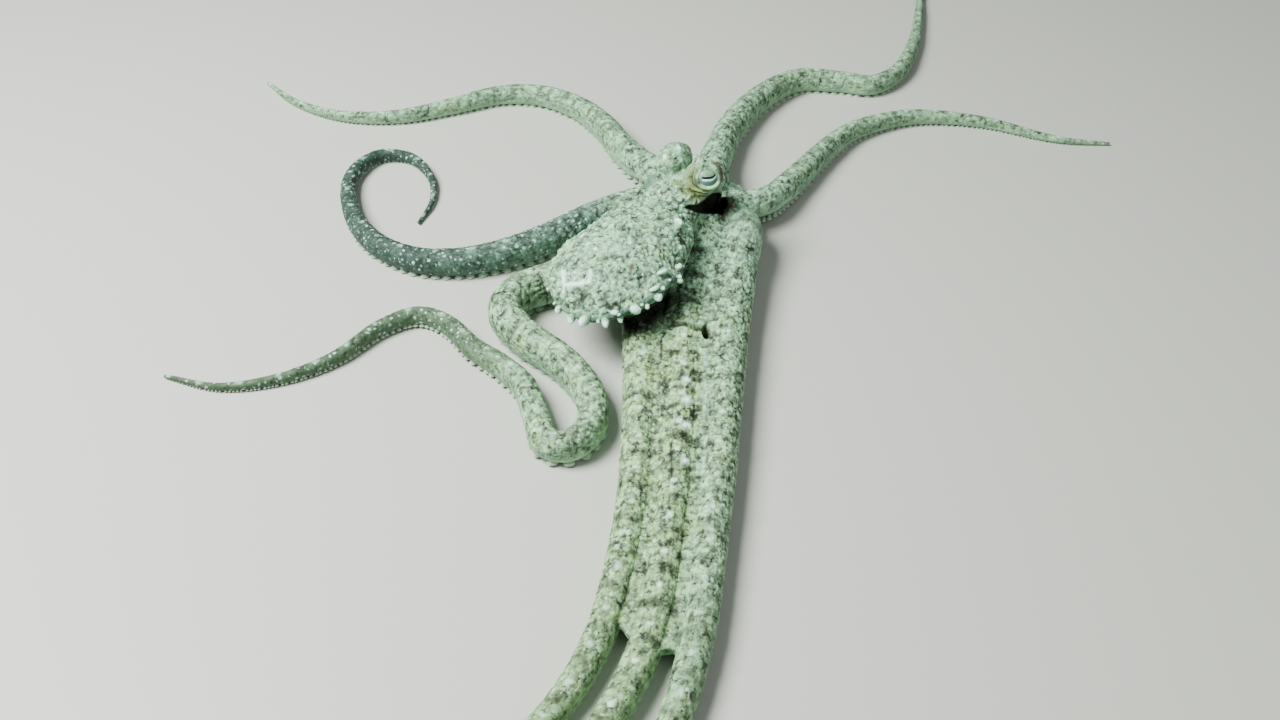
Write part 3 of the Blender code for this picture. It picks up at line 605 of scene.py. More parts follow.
hole_spot = rows - HOLE_MIDDLE
hole_out = hole_spot @ HOLE_WAY
hole_plan = np.column_stack([hole_spot @ way for way in upright(HOLE_WAY)])
by_hole = (hole_out > -12 * MM) & (from_head(rows) < 24 * MM)
within = np.where(by_hole, inside_outline(hole_plan, HOLE_OUTLINE), -1)
# Inside the opening's outline the skin is pushed in, and it is painted dark later, as shade
inside_hole = ease(-0.15 * MM, 0.65 * MM, within)
faces_out = ease(-0.45, 0.15, dot(outward, HOLE_WAY)) * ease(-9 * MM, -4 * MM, hole_out)
hole_lip = faces_out * np.exp(-(((within + 0.35 * MM) / (0.45 * MM)) ** 2)) * (within < 0.1 * MM)
depth = HOLE_TAIL_DEPTH + (HOLE_DEPTH - HOLE_TAIL_DEPTH) * ease(-5 * MM, -1.5 * MM, hole_plan[:, 0])
rows = rows - HOLE_WAY * (inside_hole * faces_out * depth)[:, None]
gap = ease(1.15, 0.75, far((rows[:, :2] - GAP_PLACE) / GAP_RADII))
gap *= ease(4 * MM, 6 * MM, rows[:, 2])
rows[:, 2] -= gap * GAP_DEPTH
from_mouth = np.hypot(rows[:, 0], rows[:, 1])
below = (rows[:, 2] < 1 * MM) & (from_mouth < 9 * MM)
# The mouth's hollow is painted dark later, as shade
mouth = below * ease(1.25 * MOUTH_RADIUS, 0.75 * MOUTH_RADIUS, from_mouth)
pleats = 0.5 + 0.5 * np.sin(np.arctan2(rows[:, 1], rows[:, 0]) * LIP_PLEATS)
lips = below * np.exp(-(((from_mouth - 1.9 * MOUTH_RADIUS) / (0.8 * MM)) ** 2))
rows[:, 2] = np.maximum(rows[:, 2], 0.02 * MM) + mouth * MOUTH_DEPTH + lips * LIP_RISE * pleats
set_rows(rows)
mesh.shade_smooth()

# The skin's markings and its look
# Sacs of pigment make the pattern: pale lumps over dark hollows, ochre patches, a white bar on
# the bag, pale spots between dark bands along the arms, and blue-grey on the third left arm.
# Painted light and shade are mixed in: the hollows are partly painted shade and the lumps' tops
# partly painted light, some dark marks are painted shade in gaps, creases, holes and under the
# bag's edge, the far arms are darkened with painted shade, and pale glints are painted highlights.
# Places in mm. Those with two numbers are seen from above.
V_MARK = [
    (-37.4, -49.5, 22.7), (-37.0, -53.7, 21.5), (-33.7, -54.9, 22.8), (-30.5, -55.3, 23.7),
    (-29.8, -52.4, 24.9)]
V_TAIL = [(-37.0, -53.7, 21.5), (-37.2, -55.5, 20.2)]
V_SHADOWS = [
    [(-32.4, -57.8, 21.7), (-31.5, -59.1, 21.2), (-30.3, -58.5, 22.0)],
    [(-25.4, -61.1, 20.9), (-24.4, -62.1, 19.7), (-23.2, -61.1, 20.9)]]
PINK_SPOT = (-19.2, -51.5, 25.5)
BROWN_SPOT, SMALL_BROWN_SPOT = (10.2, -8.5, 17.5), (9.6, -7.0, 20)
# Painted shade, brown, behind the near eye
BROWN_PATCH = [(5.6, -7.8, 31.0), (6.7, -9.3, 28.8), (6.6, -10.8, 26.4)]
# Painted shade in the corner beside the near eye
DARK_CORNER = (-0.1, -14.2, 28.2)
# Painted shadow in the gap between the bag's edge flap and the shoulder
LEAF_HOLLOW = [(-7.6, -34.1, 21.4), (-6.8, -35.4, 20.9)]
SHOULDER_SPECKS = [(8.4, -21.9), (7.0, -23.4), (9.8, -23.6)]
WHITE_SPECKS = [
    (-28.6, -44.5, 26.4), (-19.5, -42.4, 26.9), (-18.7, -34.3, 26.1), (-30.8, -41.2, 26.0),
    (-32.7, -36.3, 24.8), (0.0, -15.9, 22.8), (-9.6, -3.1, 29.5), (-5.8, -1.9, 32.1)]
GROOVE_LINE = [(0.3, -66.9), (-0.6, -92.5), (-1.7, -110.9)]
# Painted shade along the groove between the third and fourth right arms
REAR_LINES = [[(-10.1, -60.3), (-11.1, -62.3), (-11.2, -70.5)], [(-9.3, -102.2), (-9.2, -113.3)]]
OCHRE_SPOT = (-10.7, -84.0)
PALE_SPOTS = [(-4.9, -79.6), (-5.2, -87.1), (-5.4, -95.9), (-5.9, -107.9)]
DARK_BLOTCHES = [
    (-2.9, -75.8), (-3.4, -83.4), (-3.3, -91.7), (-3.8, -101.6), (-4.4, -113.2), (0.9, -91.0), (0.2, -102.3)]
# How far apart the dark bands lie along an arm, in mm, and how strong they are on each arm
BAND_SPACING = 10.4
BAND_STRENGTH = np.array((0.45, 0.6, 1.0, 0.7, 0.45, 0.45, 0.45, 0.45))


def mark(corners, size):
    """One at this place or along this line, fading out over about this distance, in mm."""
    corners = np.atleast_2d(corners) * MM
    if len(corners) == 1:
        corners = np.vstack([corners, corners + 0.01 * MM])
    if corners.shape[1] == 3:
        corners = np.array([rows[np.argmin(far(rows - corner))] for corner in corners])
        corners[1:] += 0.001 * MM
    best = np.zeros(len(rows))
    for a, b in zip(corners, corners[1:]):
        away = along_line(rows[:, : corners.shape[1]], a, b)
        best = np.maximum(best, np.exp(-dot(away, away) / (size * MM) ** 2))
    return best


def marks(many, size):
    return np.maximum.reduce([mark(corners, size) for corners in many])


def strongest(*values):
    """The largest of these at each place."""
    return np.clip(np.maximum.reduce(values), 0, 1)


def paint(mesh, name, values):
    """Keeps a value, or three, for each vertex."""
    kind, field = ("FLOAT_VECTOR", "vector") if values.ndim == 2 else ("FLOAT", "value")
    layer = mesh.attributes.new(name, kind, "POINT")
    layer.data.foreach_set(field, values.astype(np.float32).ravel())


along, around = along / MM, around / MM
this_arm = {name: on_arm * (number == i) for i, name in enumerate(names)}
strength = on_arm * BAND_STRENGTH[number]
beat = (along + 1.6 * wave(rows, 5 * MM, 31.0)) / BAND_SPACING + 0.37 * number
from_band = np.abs(beat % 1 - 0.5)
band = strength * ease(1.7, 0.6, from_band * BAND_SPACING) * ease(1.7, 0.9, np.abs(turn))
band *= ease(-0.35, 0.15, wave(rows, 4 * MM, 41.0))
from_spot = np.hypot((0.5 - from_band) * BAND_SPACING, around)
white_spot = strength * ease(1.1, 0.45, from_spot) * ease(20, 40, along)
# Hairlines cross the fourth left arm
hairs = np.abs((along + 2.5 * wave(rows, 6 * MM, 51.0)) % 6.5 - 3.2)
hairs = this_arm["arm_l4"] * ease(0.40, 0.15, hairs) * ease(28, 34, along) * ease(80, 74, along)

rear = this_arm["arm_r3"] + this_arm["arm_r4"] + 0.45 * this_arm["arm_r2"]
# Painted shade where the light falls off: the far parts of the rear arms and the upper arms are darkened
low_rear = np.isin(number, (1, 2, 3)) * on_arm * ease(120, 185, along)
olive = this_arm["arm_l4"] * ease(150, 185, along)
shaded = strongest(0.45 * low_rear, 0.40 * np.isin(number, (0, 6, 7)) * on_arm * ease(20, 45, along))
blue = this_arm["arm_l3"] * ease(14, 26, along)
white = strongest(
    mark(V_MARK, 0.62), 0.85 * mark(V_TAIL, 0.42), 0.6 * white_spot, marks(WHITE_SPECKS, 0.65),
    marks(PALE_SPOTS, 1.0), 0.30 * mark(GROOVE_LINE, 0.5) * ease(-0.3, 0.3, wave(rows, 3 * MM, 61.0)),
)
# Brown: spots of pigment and the opening's rim, with painted shade behind the near eye and in the deep gap
brown = strongest(
    mark(BROWN_SPOT, 1.4), mark(SMALL_BROWN_SPOT, 1.1), 0.95 * mark(PINK_SPOT, 0.95), mark(BROWN_PATCH, 1.7),
    gap, 0.95 * hole_lip * ease(2.5 * MM, 4.5 * MM, hole_plan[:, 0]),
)
# Dark marks: pigment in the bands, blotches, hairlines and specks; painted shade in the V shadows, the corner
# and the leaf hollow by the head, the lines between the rear arms, the bag's tucked underside, the deep gap,
# the eyes' sockets, the opening and the mouth
dark = strongest(
    0.88 * marks(REAR_LINES, 0.42), 0.98 * marks(V_SHADOWS, 0.72), 0.92 * mark(DARK_CORNER, 0.9),
    0.97 * mark(LEAF_HOLLOW, 0.8), 0.92 * marks(SHOULDER_SPECKS, 0.5), 0.7 * mark(OCHRE_SPOT, 0.9),
    0.85 * marks(DARK_BLOTCHES, 1.2), 0.8 * hairs, 0.72 * band, 0.95 * tucked, 0.9 * gap, 0.95 * socket,
    ease(0.1, 0.5, inside_hole), ease(0.3, 0.9, mouth),
)
# How high the relief stands sets the skin's tone: low places partly painted shade, tops partly painted light
stand = 0.55 * lump + 0.35 * grain + 0.10 + 0.10 * crumble + 0.35 * point * body_share
for name, values in {
    "lump": np.clip(stand * rough + smooth * 0.42, 0, 1),
    "body": body_share,
    "bare": smooth,
    "blue": strongest(0.95 * blue, 0.92 * edge, 0.45 * shoulder * body_share),
    "night": np.maximum(this_arm["arm_l3"] * ease(52, 80, along), 0.8 * olive),
    "olive": strongest(olive, shaded),
    "slack": slackness,
    "ochre": strongest(0.8 * rear * ease(20, 60, along), 0.35 * this_arm["arm_l4"]),
    "white": white,
    "brown": brown,
    "dark": dark,
    "crease": np.clip(crease, 0, 1),
    "under": under,
    "lower_lid": lower_rim,
    "dotted": np.clip(this_arm["arm_l3"] * ease(12, 30, along) + olive, 0, 1),
    "lie": np.column_stack([along, around, number * 50]),
}.items():
    paint(mesh, name, values)


class Wire:
    """A node's output in a material. Arithmetic on it adds Math nodes."""

    def __init__(self, tree, socket=None):
        self.tree, self.socket = tree, socket

    def node(self, kind, settings, inputs, output=0):
        """Adds a node: its settings first, then the values or links of its sockets."""
        made = self.tree.nodes.new(kind)
        for key, value in settings.items():
            setattr(made, key, value)
        for key, value in inputs.items():
            if isinstance(value, Wire):
                self.tree.links.new(value.socket, made.inputs[key])
            else:
                made.inputs[key].default_value = value
        return Wire(self.tree, made.outputs[output])

    def math(self, operation, *values):
        return self.node("ShaderNodeMath", {"operation": operation}, dict(enumerate(values)))

    def __add__(self, other):
        return self.math("ADD", self, other)

    def __sub__(self, other):
        return self.math("SUBTRACT", self, other)

    def __rsub__(self, other):
        return self.math("SUBTRACT", other, self)

    def __mul__(self, other):
        return self.math("MULTIPLY", self, other)

    def __truediv__(self, other):
        return self.math("DIVIDE", self, other)

    __radd__, __rmul__ = __add__, __mul__

    def between(self, low, high):
        """Nought at low and one at high, smooth between them. High may be the smaller."""
        inputs = {"Value": self, "From Min": low, "From Max": high}
        return self.node("ShaderNodeMapRange", {"interpolation_type": "SMOOTHSTEP"}, inputs)

    def colour(self, first, second):
        """From the first colour to the second by this share."""
        first, second = ((*c, 1) if isinstance(c, tuple) else c for c in (first, second))
        return self.node("ShaderNodeMix", {"data_type": "RGBA"}, {"Factor": self, 6: first, 7: second}, 2)

    def ramp(self, stops):
        """The colour at this share of the way along these stops."""
        made = self.node("ShaderNodeValToRGB", {}, {0: self})
        elements = made.socket.node.color_ramp.elements
        while len(elements) < len(stops):
            elements.new(1)
        for stop, (place, colour) in zip(elements, stops):
            stop.position, stop.color = place, (*colour, 1)
        return made

    def read(self, name, output=2):
        """A value painted on the mesh."""
        return self.node("ShaderNodeAttribute", {"attribute_name": name}, {}, output)

    def noise(self, place, size, detail=3.0, roughness=0.6, output=0):
        inputs = {"Vector": place, "Scale": 1 / size, "Detail": detail, "Roughness": roughness}
        return self.node("ShaderNodeTexNoise", {}, inputs, output)

    def pebbles(self, place, size, randomness=1.0):
        inputs = {"Vector": place, "Scale": 1 / size, "Randomness": randomness}
        return self.node("ShaderNodeTexVoronoi", {}, inputs)

    def bump(self, strength, distance):
        """This height as fine relief."""
        return self.node("ShaderNodeBump", {}, {"Strength": strength, "Distance": distance, "Height": self})


def new_look(name, constants):
    """A material, its wires, its wire of each point's place, and its shader with the values that
    are the same all over."""
    look = bpy.data.materials.new(name)
    look.use_nodes = True
    shader = look.node_tree.nodes["Principled BSDF"]
    for socket, value in constants.items():
        shader.inputs[socket].default_value = value
    wires = Wire(look.node_tree)
    return look, wires, wires.node("ShaderNodeTexCoord", {}, {}, 3), shader


def join(shader, links):
    for socket, wire in links.items():
        wire.tree.links.new(wire.socket, shader.inputs[socket])


# The skin's colours from the deepest pits to the tops of the lumps, by how high each stands: pigment,
# partly painted shade in the pits and painted light on the tops
SKIN_GREENS = (
    (0.00, (0.022, 0.032, 0.018)), (0.20, (0.080, 0.135, 0.084)), (0.42, (0.160, 0.290, 0.180)),
    (0.68, (0.245, 0.460, 0.280)), (1.00, (0.380, 0.700, 0.430)),
)
REAR_GREENS = (
    (0.00, (0.018, 0.026, 0.008)), (0.20, (0.082, 0.125, 0.050)), (0.42, (0.170, 0.265, 0.110)),
    (0.68, (0.260, 0.430, 0.180)), (1.00, (0.390, 0.660, 0.290)),
)
BLUE_GREYS = (
    (0.00, (0.016, 0.030, 0.022)), (0.25, (0.038, 0.076, 0.056)), (0.50, (0.066, 0.130, 0.094)),
    (0.75, (0.108, 0.210, 0.150)), (1.00, (0.160, 0.320, 0.225)),
)
FAR_SHADE_BLUE = (0.014, 0.034, 0.025)
OLIVE_GREY = (0.110, 0.180, 0.080)
MARK_AND_GLINT_WHITE = (0.640, 0.940, 0.780)
WRINKLE_OLIVE = (0.185, 0.245, 0.075)
SPECK_BLACK = (0.016, 0.020, 0.008)
RED_BROWN = (0.075, 0.040, 0.016)
DEEP_BROWN = (0.010, 0.009, 0.005)
LINE_BROWN = (0.035, 0.036, 0.008)
PALE_BELLY = (0.330, 0.520, 0.350)
LID_CREAM = (0.370, 0.600, 0.270)

JITTER = 1.3 * MM
look, wires, place, shader = new_look(
    "skin", {"Specular IOR Level": 0.22, "Subsurface Weight": 0.06, "Subsurface Scale": 1 * MM})
stretched = wires.node(
    "ShaderNodeVectorMath", {"operation": "MULTIPLY"}, {0: wires.read("lie", 1), 1: (0.22, 1.6, 1)})
body, bare, dark, slack = (wires.read(name) for name in ("body", "bare", "dark", "slack"))

# Crumbly cobbles: cells whose edges wander, each with a tint of its own
jitter = wires.noise(place, JITTER, 3, 0.5, 1)
wandering = wires.node(
    "ShaderNodeVectorMath", {"operation": "MULTIPLY_ADD"}, {0: jitter, 1: (JITTER,) * 3, 2: place})
cobble = wires.pebbles(wandering, 1.15 * MM)
tint = Wire(cobble.tree, cobble.socket.node.outputs[1])
patches = wires.noise(place, 9 * MM)
mottle = wires.noise(place, 2.6 * MM, 4, 0.7)
fine = wires.noise(place, 0.7 * MM, 3, 0.7)
streak = wires.noise(stretched, 1.3, 3, 0.65)
speck = wires.noise(wandering, 0.75 * MM, 1, 0.4)
# A noise for the painted highlights' glints
glint = wires.noise(wandering, 1.0 * MM, 0, 0.4)
dots = wires.pebbles(wandering, 1.9 * MM, 0.9)

height = wires.read("lump") * 0.62 + (mottle - 0.5) * 0.85 + (tint - 0.5) * 0.34 + (fine - 0.5) * 0.45
height = height + (1 - body) * (streak - 0.5) * 0.7 + (patches - 0.5) * 0.25
tone = height.between(-0.20, 0.80)
rear = wires.read("ochre") * mottle.between(0.30, 0.55) + patches.between(0.54, 0.68) * 0.45
colour = rear.colour(tone.ramp(SKIN_GREENS), tone.ramp(REAR_GREENS))
colour = (wires.read("under") * 0.75).colour(colour, PALE_BELLY)
colour = wires.read("blue").colour(colour, tone.ramp(BLUE_GREYS))
# Olive grey on the fourth left arm's far part, and as painted shade on the far parts of the rear arms and on
# the upper arms
colour = (wires.read("olive") * 0.7).colour(colour, OLIVE_GREY)
# Painted shade darkens the far end of the third left arm, where the light falls off, and the fourth left
# arm's olive far part
colour = (wires.read("night") * 0.75).colour(colour, FAR_SHADE_BLUE)
# Pits lie at some of the cobbles' edges, where the relief dips, partly pigment and partly painted
# shade, and small dark specks between them
pit = cobble.between(0.52, 0.72) * mottle.between(0.50, 0.38) * (1 - bare * 0.8)
speckle = wires.math("MAXIMUM", pit, speck.between(0.33, 0.25) * (1 - bare * 0.7))
colour = (speckle * 0.92).colour(colour, SPECK_BLACK)
colour = (slack * mottle.between(0.30, 0.62) * 0.9).colour(colour, WRINKLE_OLIVE)
colour = (wires.read("lower_lid") * 0.80).colour(colour, LID_CREAM)
colour = (wires.read("brown") * (mottle * 0.5 + 0.75)).colour(colour, RED_BROWN)
# The slack folds' creases and the lower lid's groove are painted dark brown, as shade
colour = (wires.read("crease") * 0.92).colour(colour, LINE_BROWN)
colour = dark.colour(colour, DEEP_BROWN)
dotted = dots.between(0.30, 0.16) * wires.read("dotted") * mottle.between(0.35, 0.60) * 0.6
white = wires.math("MAXIMUM", wires.read("white") * (mottle * 0.4 + 0.85), dotted)
# Pale glints on the bumpy skin, kept off dark, bare and slack places, are painted highlights in the marks'
# white
clear = (1 - bare) * (1 - dark) * (1 - slack)
white = wires.math("MAXIMUM", white, glint.between(0.70, 0.80) * clear * (0.30 + 0.25 * body))
colour = white.colour(colour, MARK_AND_GLINT_WHITE)
height = fine * 0.5 + cobble.between(0.7, 0.1) * 0.8 + (1 - body) * streak * 0.8
rough_skin = 0.66 - 0.12 * bare + 0.25 * dark
join(shader, {"Base Color": colour, "Roughness": rough_skin, "Normal": height.bump(0.7, 0.16 * MM)})
mesh.materials.append(look)
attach(skin, "root")
flesh_nodes = [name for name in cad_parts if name.startswith("arm_")]
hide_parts(*flesh_nodes, "crown", "web_right", "head", "mantle")

# The papillae
# Soft points of skin hang in a ragged white fringe along the bag's lower edge. The animal raises
# and lowers them. Each is a blunt lumpy lobe with its root sunk in the skin.
# The fringe's own points: the turn round the bag and the rise, in degrees, then width, length
# and flatness, in mm and as a share of the width.
FRINGE = (
    (5, -1, 2.7, 3.0, 0.9), (-8, -8, 1.9, 1.8, 0.9), (-24, -9, 2.0, 1.6, 0.9), (22, 1, 1.8, 2.0, 0.9),
    (34, 3, 1.4, 1.4, 0.9), (30, 14, 2.2, 1.3, 0.6), (46.6, 14, 2.9, 1.7, 0.9), (69, 16, 2.3, 1.4, 0.8),
    (70, 28, 3.0, 1.3, 0.45), (89, 37, 3.2, 1.9, 0.40), (108, 20, 2.4, 1.7, 0.6), (154, 20, 2.8, 2.2, 0.4),
    (57, 12, 1.4, 1.2, 0.9), (97, 11, 1.7, 1.4, 0.8),
)
# The small points between them: how many, and from which turn over how many degrees
EDGE_POINTS, EDGE_START, EDGE_SWEEP = 14, -60, 190
# A lobe's outline as shares of its length and of half its width
LOBE_OUTLINE = (
    (-0.5, 1.20), (0.0, 1.12), (0.22, 1.05), (0.42, 0.98), (0.60, 0.90), (0.75, 0.78), (0.87, 0.60),
    (0.95, 0.38), (1.0, 0.12),
)
LOBE_SIDES = 14
DROOP = np.array((0, 0, 0.18))
PAPILLA_ROOT, PAPILLA_TIP = (0.180, 0.340, 0.210), (0.560, 0.880, 0.700)
bpy.context.view_layer.update()
surface = bvhtree.BVHTree.FromObject(skin, bpy.context.evaluated_depsgraph_get())
chance = random.Random(8)


def on_bag(turn, rise):
    """The place on the skin and the way out, at this turn and rise seen from the bag's middle."""
    level = math.cos(rise)
    ball = np.array((math.cos(turn) * level, math.sin(turn) * level, math.sin(rise)))
    way = Vector(unit(bag_axes @ (ball / bag_size)))
    start = Vector(bag_middle + bag_axes @ (ball * bag_size)) + way * 6 * MM
    place, normal, _, _ = surface.ray_cast(start, -way)
    return (np.array(place), np.array((normal + way).normalized())) if place else (None, None)


def lobe_form(place, out, width, length, flatness):
    """A blunt soft lobe with its root sunk in the skin and its tip drooping."""
    across = unit(np.cross(out, (0, 0, 1)) + 0.01)
    lift = np.cross(across, out)
    turns = circle(LOBE_SIDES)
    bend = chance.uniform(-0.2, 0.2) * across - DROOP
    rings = []
    shift = chance.uniform(0, 6)
    for share, wide in LOBE_OUTLINE:
        lumpy = 1 + 0.14 * np.sin(turns * 2 + shift + 3 * share)
        lumpy += 0.09 * np.sin(turns * 5 - shift + 7 * share)
        middle = place + out * share * length + bend * length * max(0, share) ** 2
        rings.append(middle + spokes(turns, across, lift, lumpy, flatness) * wide * width / 2)
    return ring_mesh(rings)


lobes, tips = [], []
plans = [(*plan, 1.0) for plan in FRINGE]
for i in range(EDGE_POINTS):
    turn = EDGE_START + EDGE_SWEEP * (i + chance.uniform(-0.4, 0.4)) / EDGE_POINTS
    rise = float(np.interp(turn, EDGE_TURNS, EDGE_RISES)) + chance.uniform(0, 9)
    size = chance.uniform(0.8, 1.4)
    plans.append((turn, rise, size, size * chance.uniform(0.6, 1.0), 0.9, 0.7))
for turn, rise, width, length, flatness, pale in plans:
    place, out = on_bag(math.radians(turn), math.radians(rise))
    if place is not None:
        lobes.append(lobe_form(place, out, width * MM, length * MM, flatness))
        paler = [pale * min(1.0, max(0.0, share + 0.05)) for share, _ in LOBE_OUTLINE]
        tips.append(np.repeat(paler, LOBE_SIDES))
papillae = shape_object("papillae", *joined(lobes))
paint(papillae.data, "tip", np.concatenate(tips))
look, wires, place, shader = new_look(
    "papilla", {"Roughness": 0.55, "Subsurface Weight": 0.1, "Subsurface Scale": 1 * MM})
fine = wires.noise(place, 0.6 * MM)
colour = (wires.read("tip") + (fine - 0.5) * 1.1).between(0.1, 0.75).colour(PAPILLA_ROOT, PAPILLA_TIP)
join(shader, {"Base Color": colour, "Normal": fine.bump(0.8, 0.25 * MM)})
papillae.data.materials.append(look)
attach(papillae, "root")

# The suckers
# Two rows of soft cups run down the under side of every arm to its tip. Each is a short stalk
# with a flared rim round a hollow, pale as the belly, and the largest stand near the web.
SUCKER_SHARE, SUCKER_OFFSET, SUCKER_PITCH = 0.40, 0.46, 1.10
SUCKER_FIRST, SUCKER_LEAST, SUCKER_GROWS = 6 * MM, 0.55 * MM, 40 * MM
# The cup's outline from its root to the middle of its hollow: out and down, as shares of its
# radius, and how far inside the cup it is, with the outer wall below nought
CUP_OUTLINE = (
    (0.62, -1.5, -1), (0.58, -0.75, -1), (0.80, -0.35, -0.7), (1.00, -0.10, -0.1), (0.94, 0.0, 0),
    (0.78, -0.04, 0.35), (0.52, -0.24, 0.8), (0.30, -0.32, 1), (0.22, -0.55, 1), (0.06, -0.60, 1),
)
CUP_DULL, CUP_PALE = (0.36, 0.50, 0.38), (0.50, 0.62, 0.47)
CUP_WALL, CUP_HOLLOW = (0.20, 0.31, 0.20), (0.24, 0.27, 0.19)
chance = random.Random(3)


def sucker_form(face, down, ahead, radius, columns):
    turns = circle(columns) + chance.uniform(0, 1)
    ripple = 1 + 0.05 * np.sin(turns * 3 + chance.uniform(0, 6))
    out = spokes(turns, ahead, np.cross(down, ahead), ripple)
    return ring_mesh([face + out * wide * radius + down * rise * radius for wide, rise, _ in CUP_OUTLINE])


look, wires, place, shader = new_look(
    "sucker", {"Roughness": 0.42, "Subsurface Weight": 0.15, "Subsurface Scale": 1 * MM})
hollow = wires.read("hollow")
colour = wires.noise(place, 1.4 * MM).between(0.35, 0.65).colour(CUP_DULL, CUP_PALE)
colour = (hollow.between(0.0, -0.8) * 0.85).colour(colour, CUP_WALL)
# The cup's hollow is painted darker, as shade
colour = (hollow.between(0.0, 1.0) * 0.75).colour(colour, CUP_HOLLOW)
join(shader, {"Base Color": colour, "Normal": wires.noise(place, 0.3 * MM).bump(0.4, 0.05 * MM)})
for name, arm in arms.items():
    cups, hollows, s, hand = [], [], SUCKER_FIRST, 1
    while s < arm.length - 0.5 * MM:
        i = arm.at(s)
        turn, thick = arm.turn[i], arm.radius[i]
        radius = max(0.16 * MM, SUCKER_SHARE * thick * chance.uniform(0.92, 1.06))
        radius *= 0.4 + 0.6 * ease(0, SUCKER_GROWS, s)
        down = math.sin(turn) * arm.side[i] - math.cos(turn) * arm.up[i]
        aside = np.cross(arm.ahead[i], down) * hand * SUCKER_OFFSET * thick
        face = arm.place[i] + down * (thick + arm.stand[i]) + aside
        columns = 16 if radius > 1.3 * MM else 12 if radius > 0.6 * MM else 8
        cups.append(sucker_form(face, down, arm.ahead[i], radius, columns))
        hollows.append(np.repeat([inside for _, _, inside in CUP_OUTLINE], columns))
        s += max(SUCKER_LEAST, SUCKER_PITCH * radius)
        hand = -hand
    cup_object = shape_object("suckers_" + name[4:], *joined(cups))
    paint(cup_object.data, "hollow", np.concatenate(hollows))
    cup_object.data.materials.append(look)
    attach(cup_object, "root")

# The eyes
# Each eye is a firm ball with a level slit for a pupil. The iris above the slit is as green as
# the skin, a white crescent lies under it, then a blue-grey band, all below a clear wet coat.
EYE_GREEN, EYE_SHADE, EYE_BLUE = (0.170, 0.340, 0.195), (0.065, 0.125, 0.075), (0.070, 0.150, 0.125)
EYE_WHITE, PUPIL_BLACK = (0.480, 0.800, 0.720), (0.002, 0.002, 0.002)
# The slit's ends, level, half height and bends, and the crescent's width, in mm on the eye
SLIT_LEFT, SLIT_RIGHT = -2.0, 2.1
SLIT_LEVEL, SLIT_HALF = -0.30, 0.34
SLIT_BOW, SLIT_HOOK = 0.062, 0.090
WHITE_WIDTH = 0.50
EYE_RINGS, EYE_SIDES = 64, 72
BULGE, BULGE_TILT = 0.03, math.radians(26)

look, wires, place, shader = new_look(
    "eye", {"Roughness": 0.40, "Specular IOR Level": 0.15, "Coat Weight": 0.08, "Coat Roughness": 0.10})
split = wires.node("ShaderNodeSeparateXYZ", {}, {0: place})
x = split / MM
y = Wire(split.tree, split.socket.node.outputs[1]) / MM
right = wires.math("MAXIMUM", x, 0.0)
off = y - (SLIT_LEVEL + x * x * SLIT_BOW + right * right * right * SLIT_HOOK)
ends = x.between(SLIT_LEFT - 0.15, SLIT_LEFT + 0.25) * x.between(SLIT_RIGHT + 0.15, SLIT_RIGHT - 0.25)
slit = wires.math("ABSOLUTE", off).between(SLIT_HALF + 0.07, SLIT_HALF - 0.07) * ends
below = 0 - off - SLIT_HALF
crescent = below.between(WHITE_WIDTH + 0.25, WHITE_WIDTH - 0.15) * below.between(-0.1, 0.05) * ends
mottle = wires.noise(place, 0.9 * MM, 4, 0.7)
fine = wires.pebbles(place, 0.35 * MM)
iris = (mottle.between(0.35, 0.65) * 0.7 + fine * 0.3).colour(EYE_SHADE, EYE_GREEN)
colour = below.between(0.0, 0.4).colour(iris, EYE_BLUE)
middle_away = wires.math("SQRT", x * x + y * y)
arc = wires.math("ABSOLUTE", middle_away - 2.42).between(0.16, 0.06) * x.between(1.0, 1.6)
colour = (arc * y.between(-1.2, 0.2) * 0.55).colour(colour, EYE_WHITE)
colour = (crescent * 0.95).colour(colour, EYE_WHITE)
# The ball's rim, next to the lids, is painted darker as shade
colour = (middle_away.between(2.5, 2.8) * 0.6).colour(colour, EYE_SHADE)
join(shader, {"Base Color": slit.colour(colour, PUPIL_BLACK)})
for sign, name in ((-1, "eye_right"), (1, "eye_left")):
    out, across, up = eye_axes(*EYE_LOOKS[sign])
    rings = []
    for tilt in np.linspace(math.pi - 0.01, 0.01, EYE_RINGS):
        ring = spokes(circle(EYE_SIDES), *np.eye(3)[:2], math.sin(tilt)) + [0, 0, math.cos(tilt)]
        rings.append(ring * EYE_RADIUS * (1 + BULGE * math.exp(-((tilt / BULGE_TILT) ** 2))))
    ball = shape_object(name + "_ball", *ring_mesh(rings))
    ball.matrix_world = Matrix.Translation(eye_place(sign) + head_side(sign) * EYE_OUT) @ Matrix(
        np.column_stack([across, up, out]).tolist()).to_4x4()
    ball.data.materials.append(look)
    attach(ball, "root")
    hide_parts(name)

# The funnel
# A short muscular tube on the left of the head, which the animal breathes out through. Its wall
# is thick and smooth, blue-grey, and rolls in at the open end.
FUNNEL_FROM = HEAD_PLACE + Vector((-2, 4, 9.5)) * MM
FUNNEL_TO = Vector((-14, 9.5, 13.5)) * MM
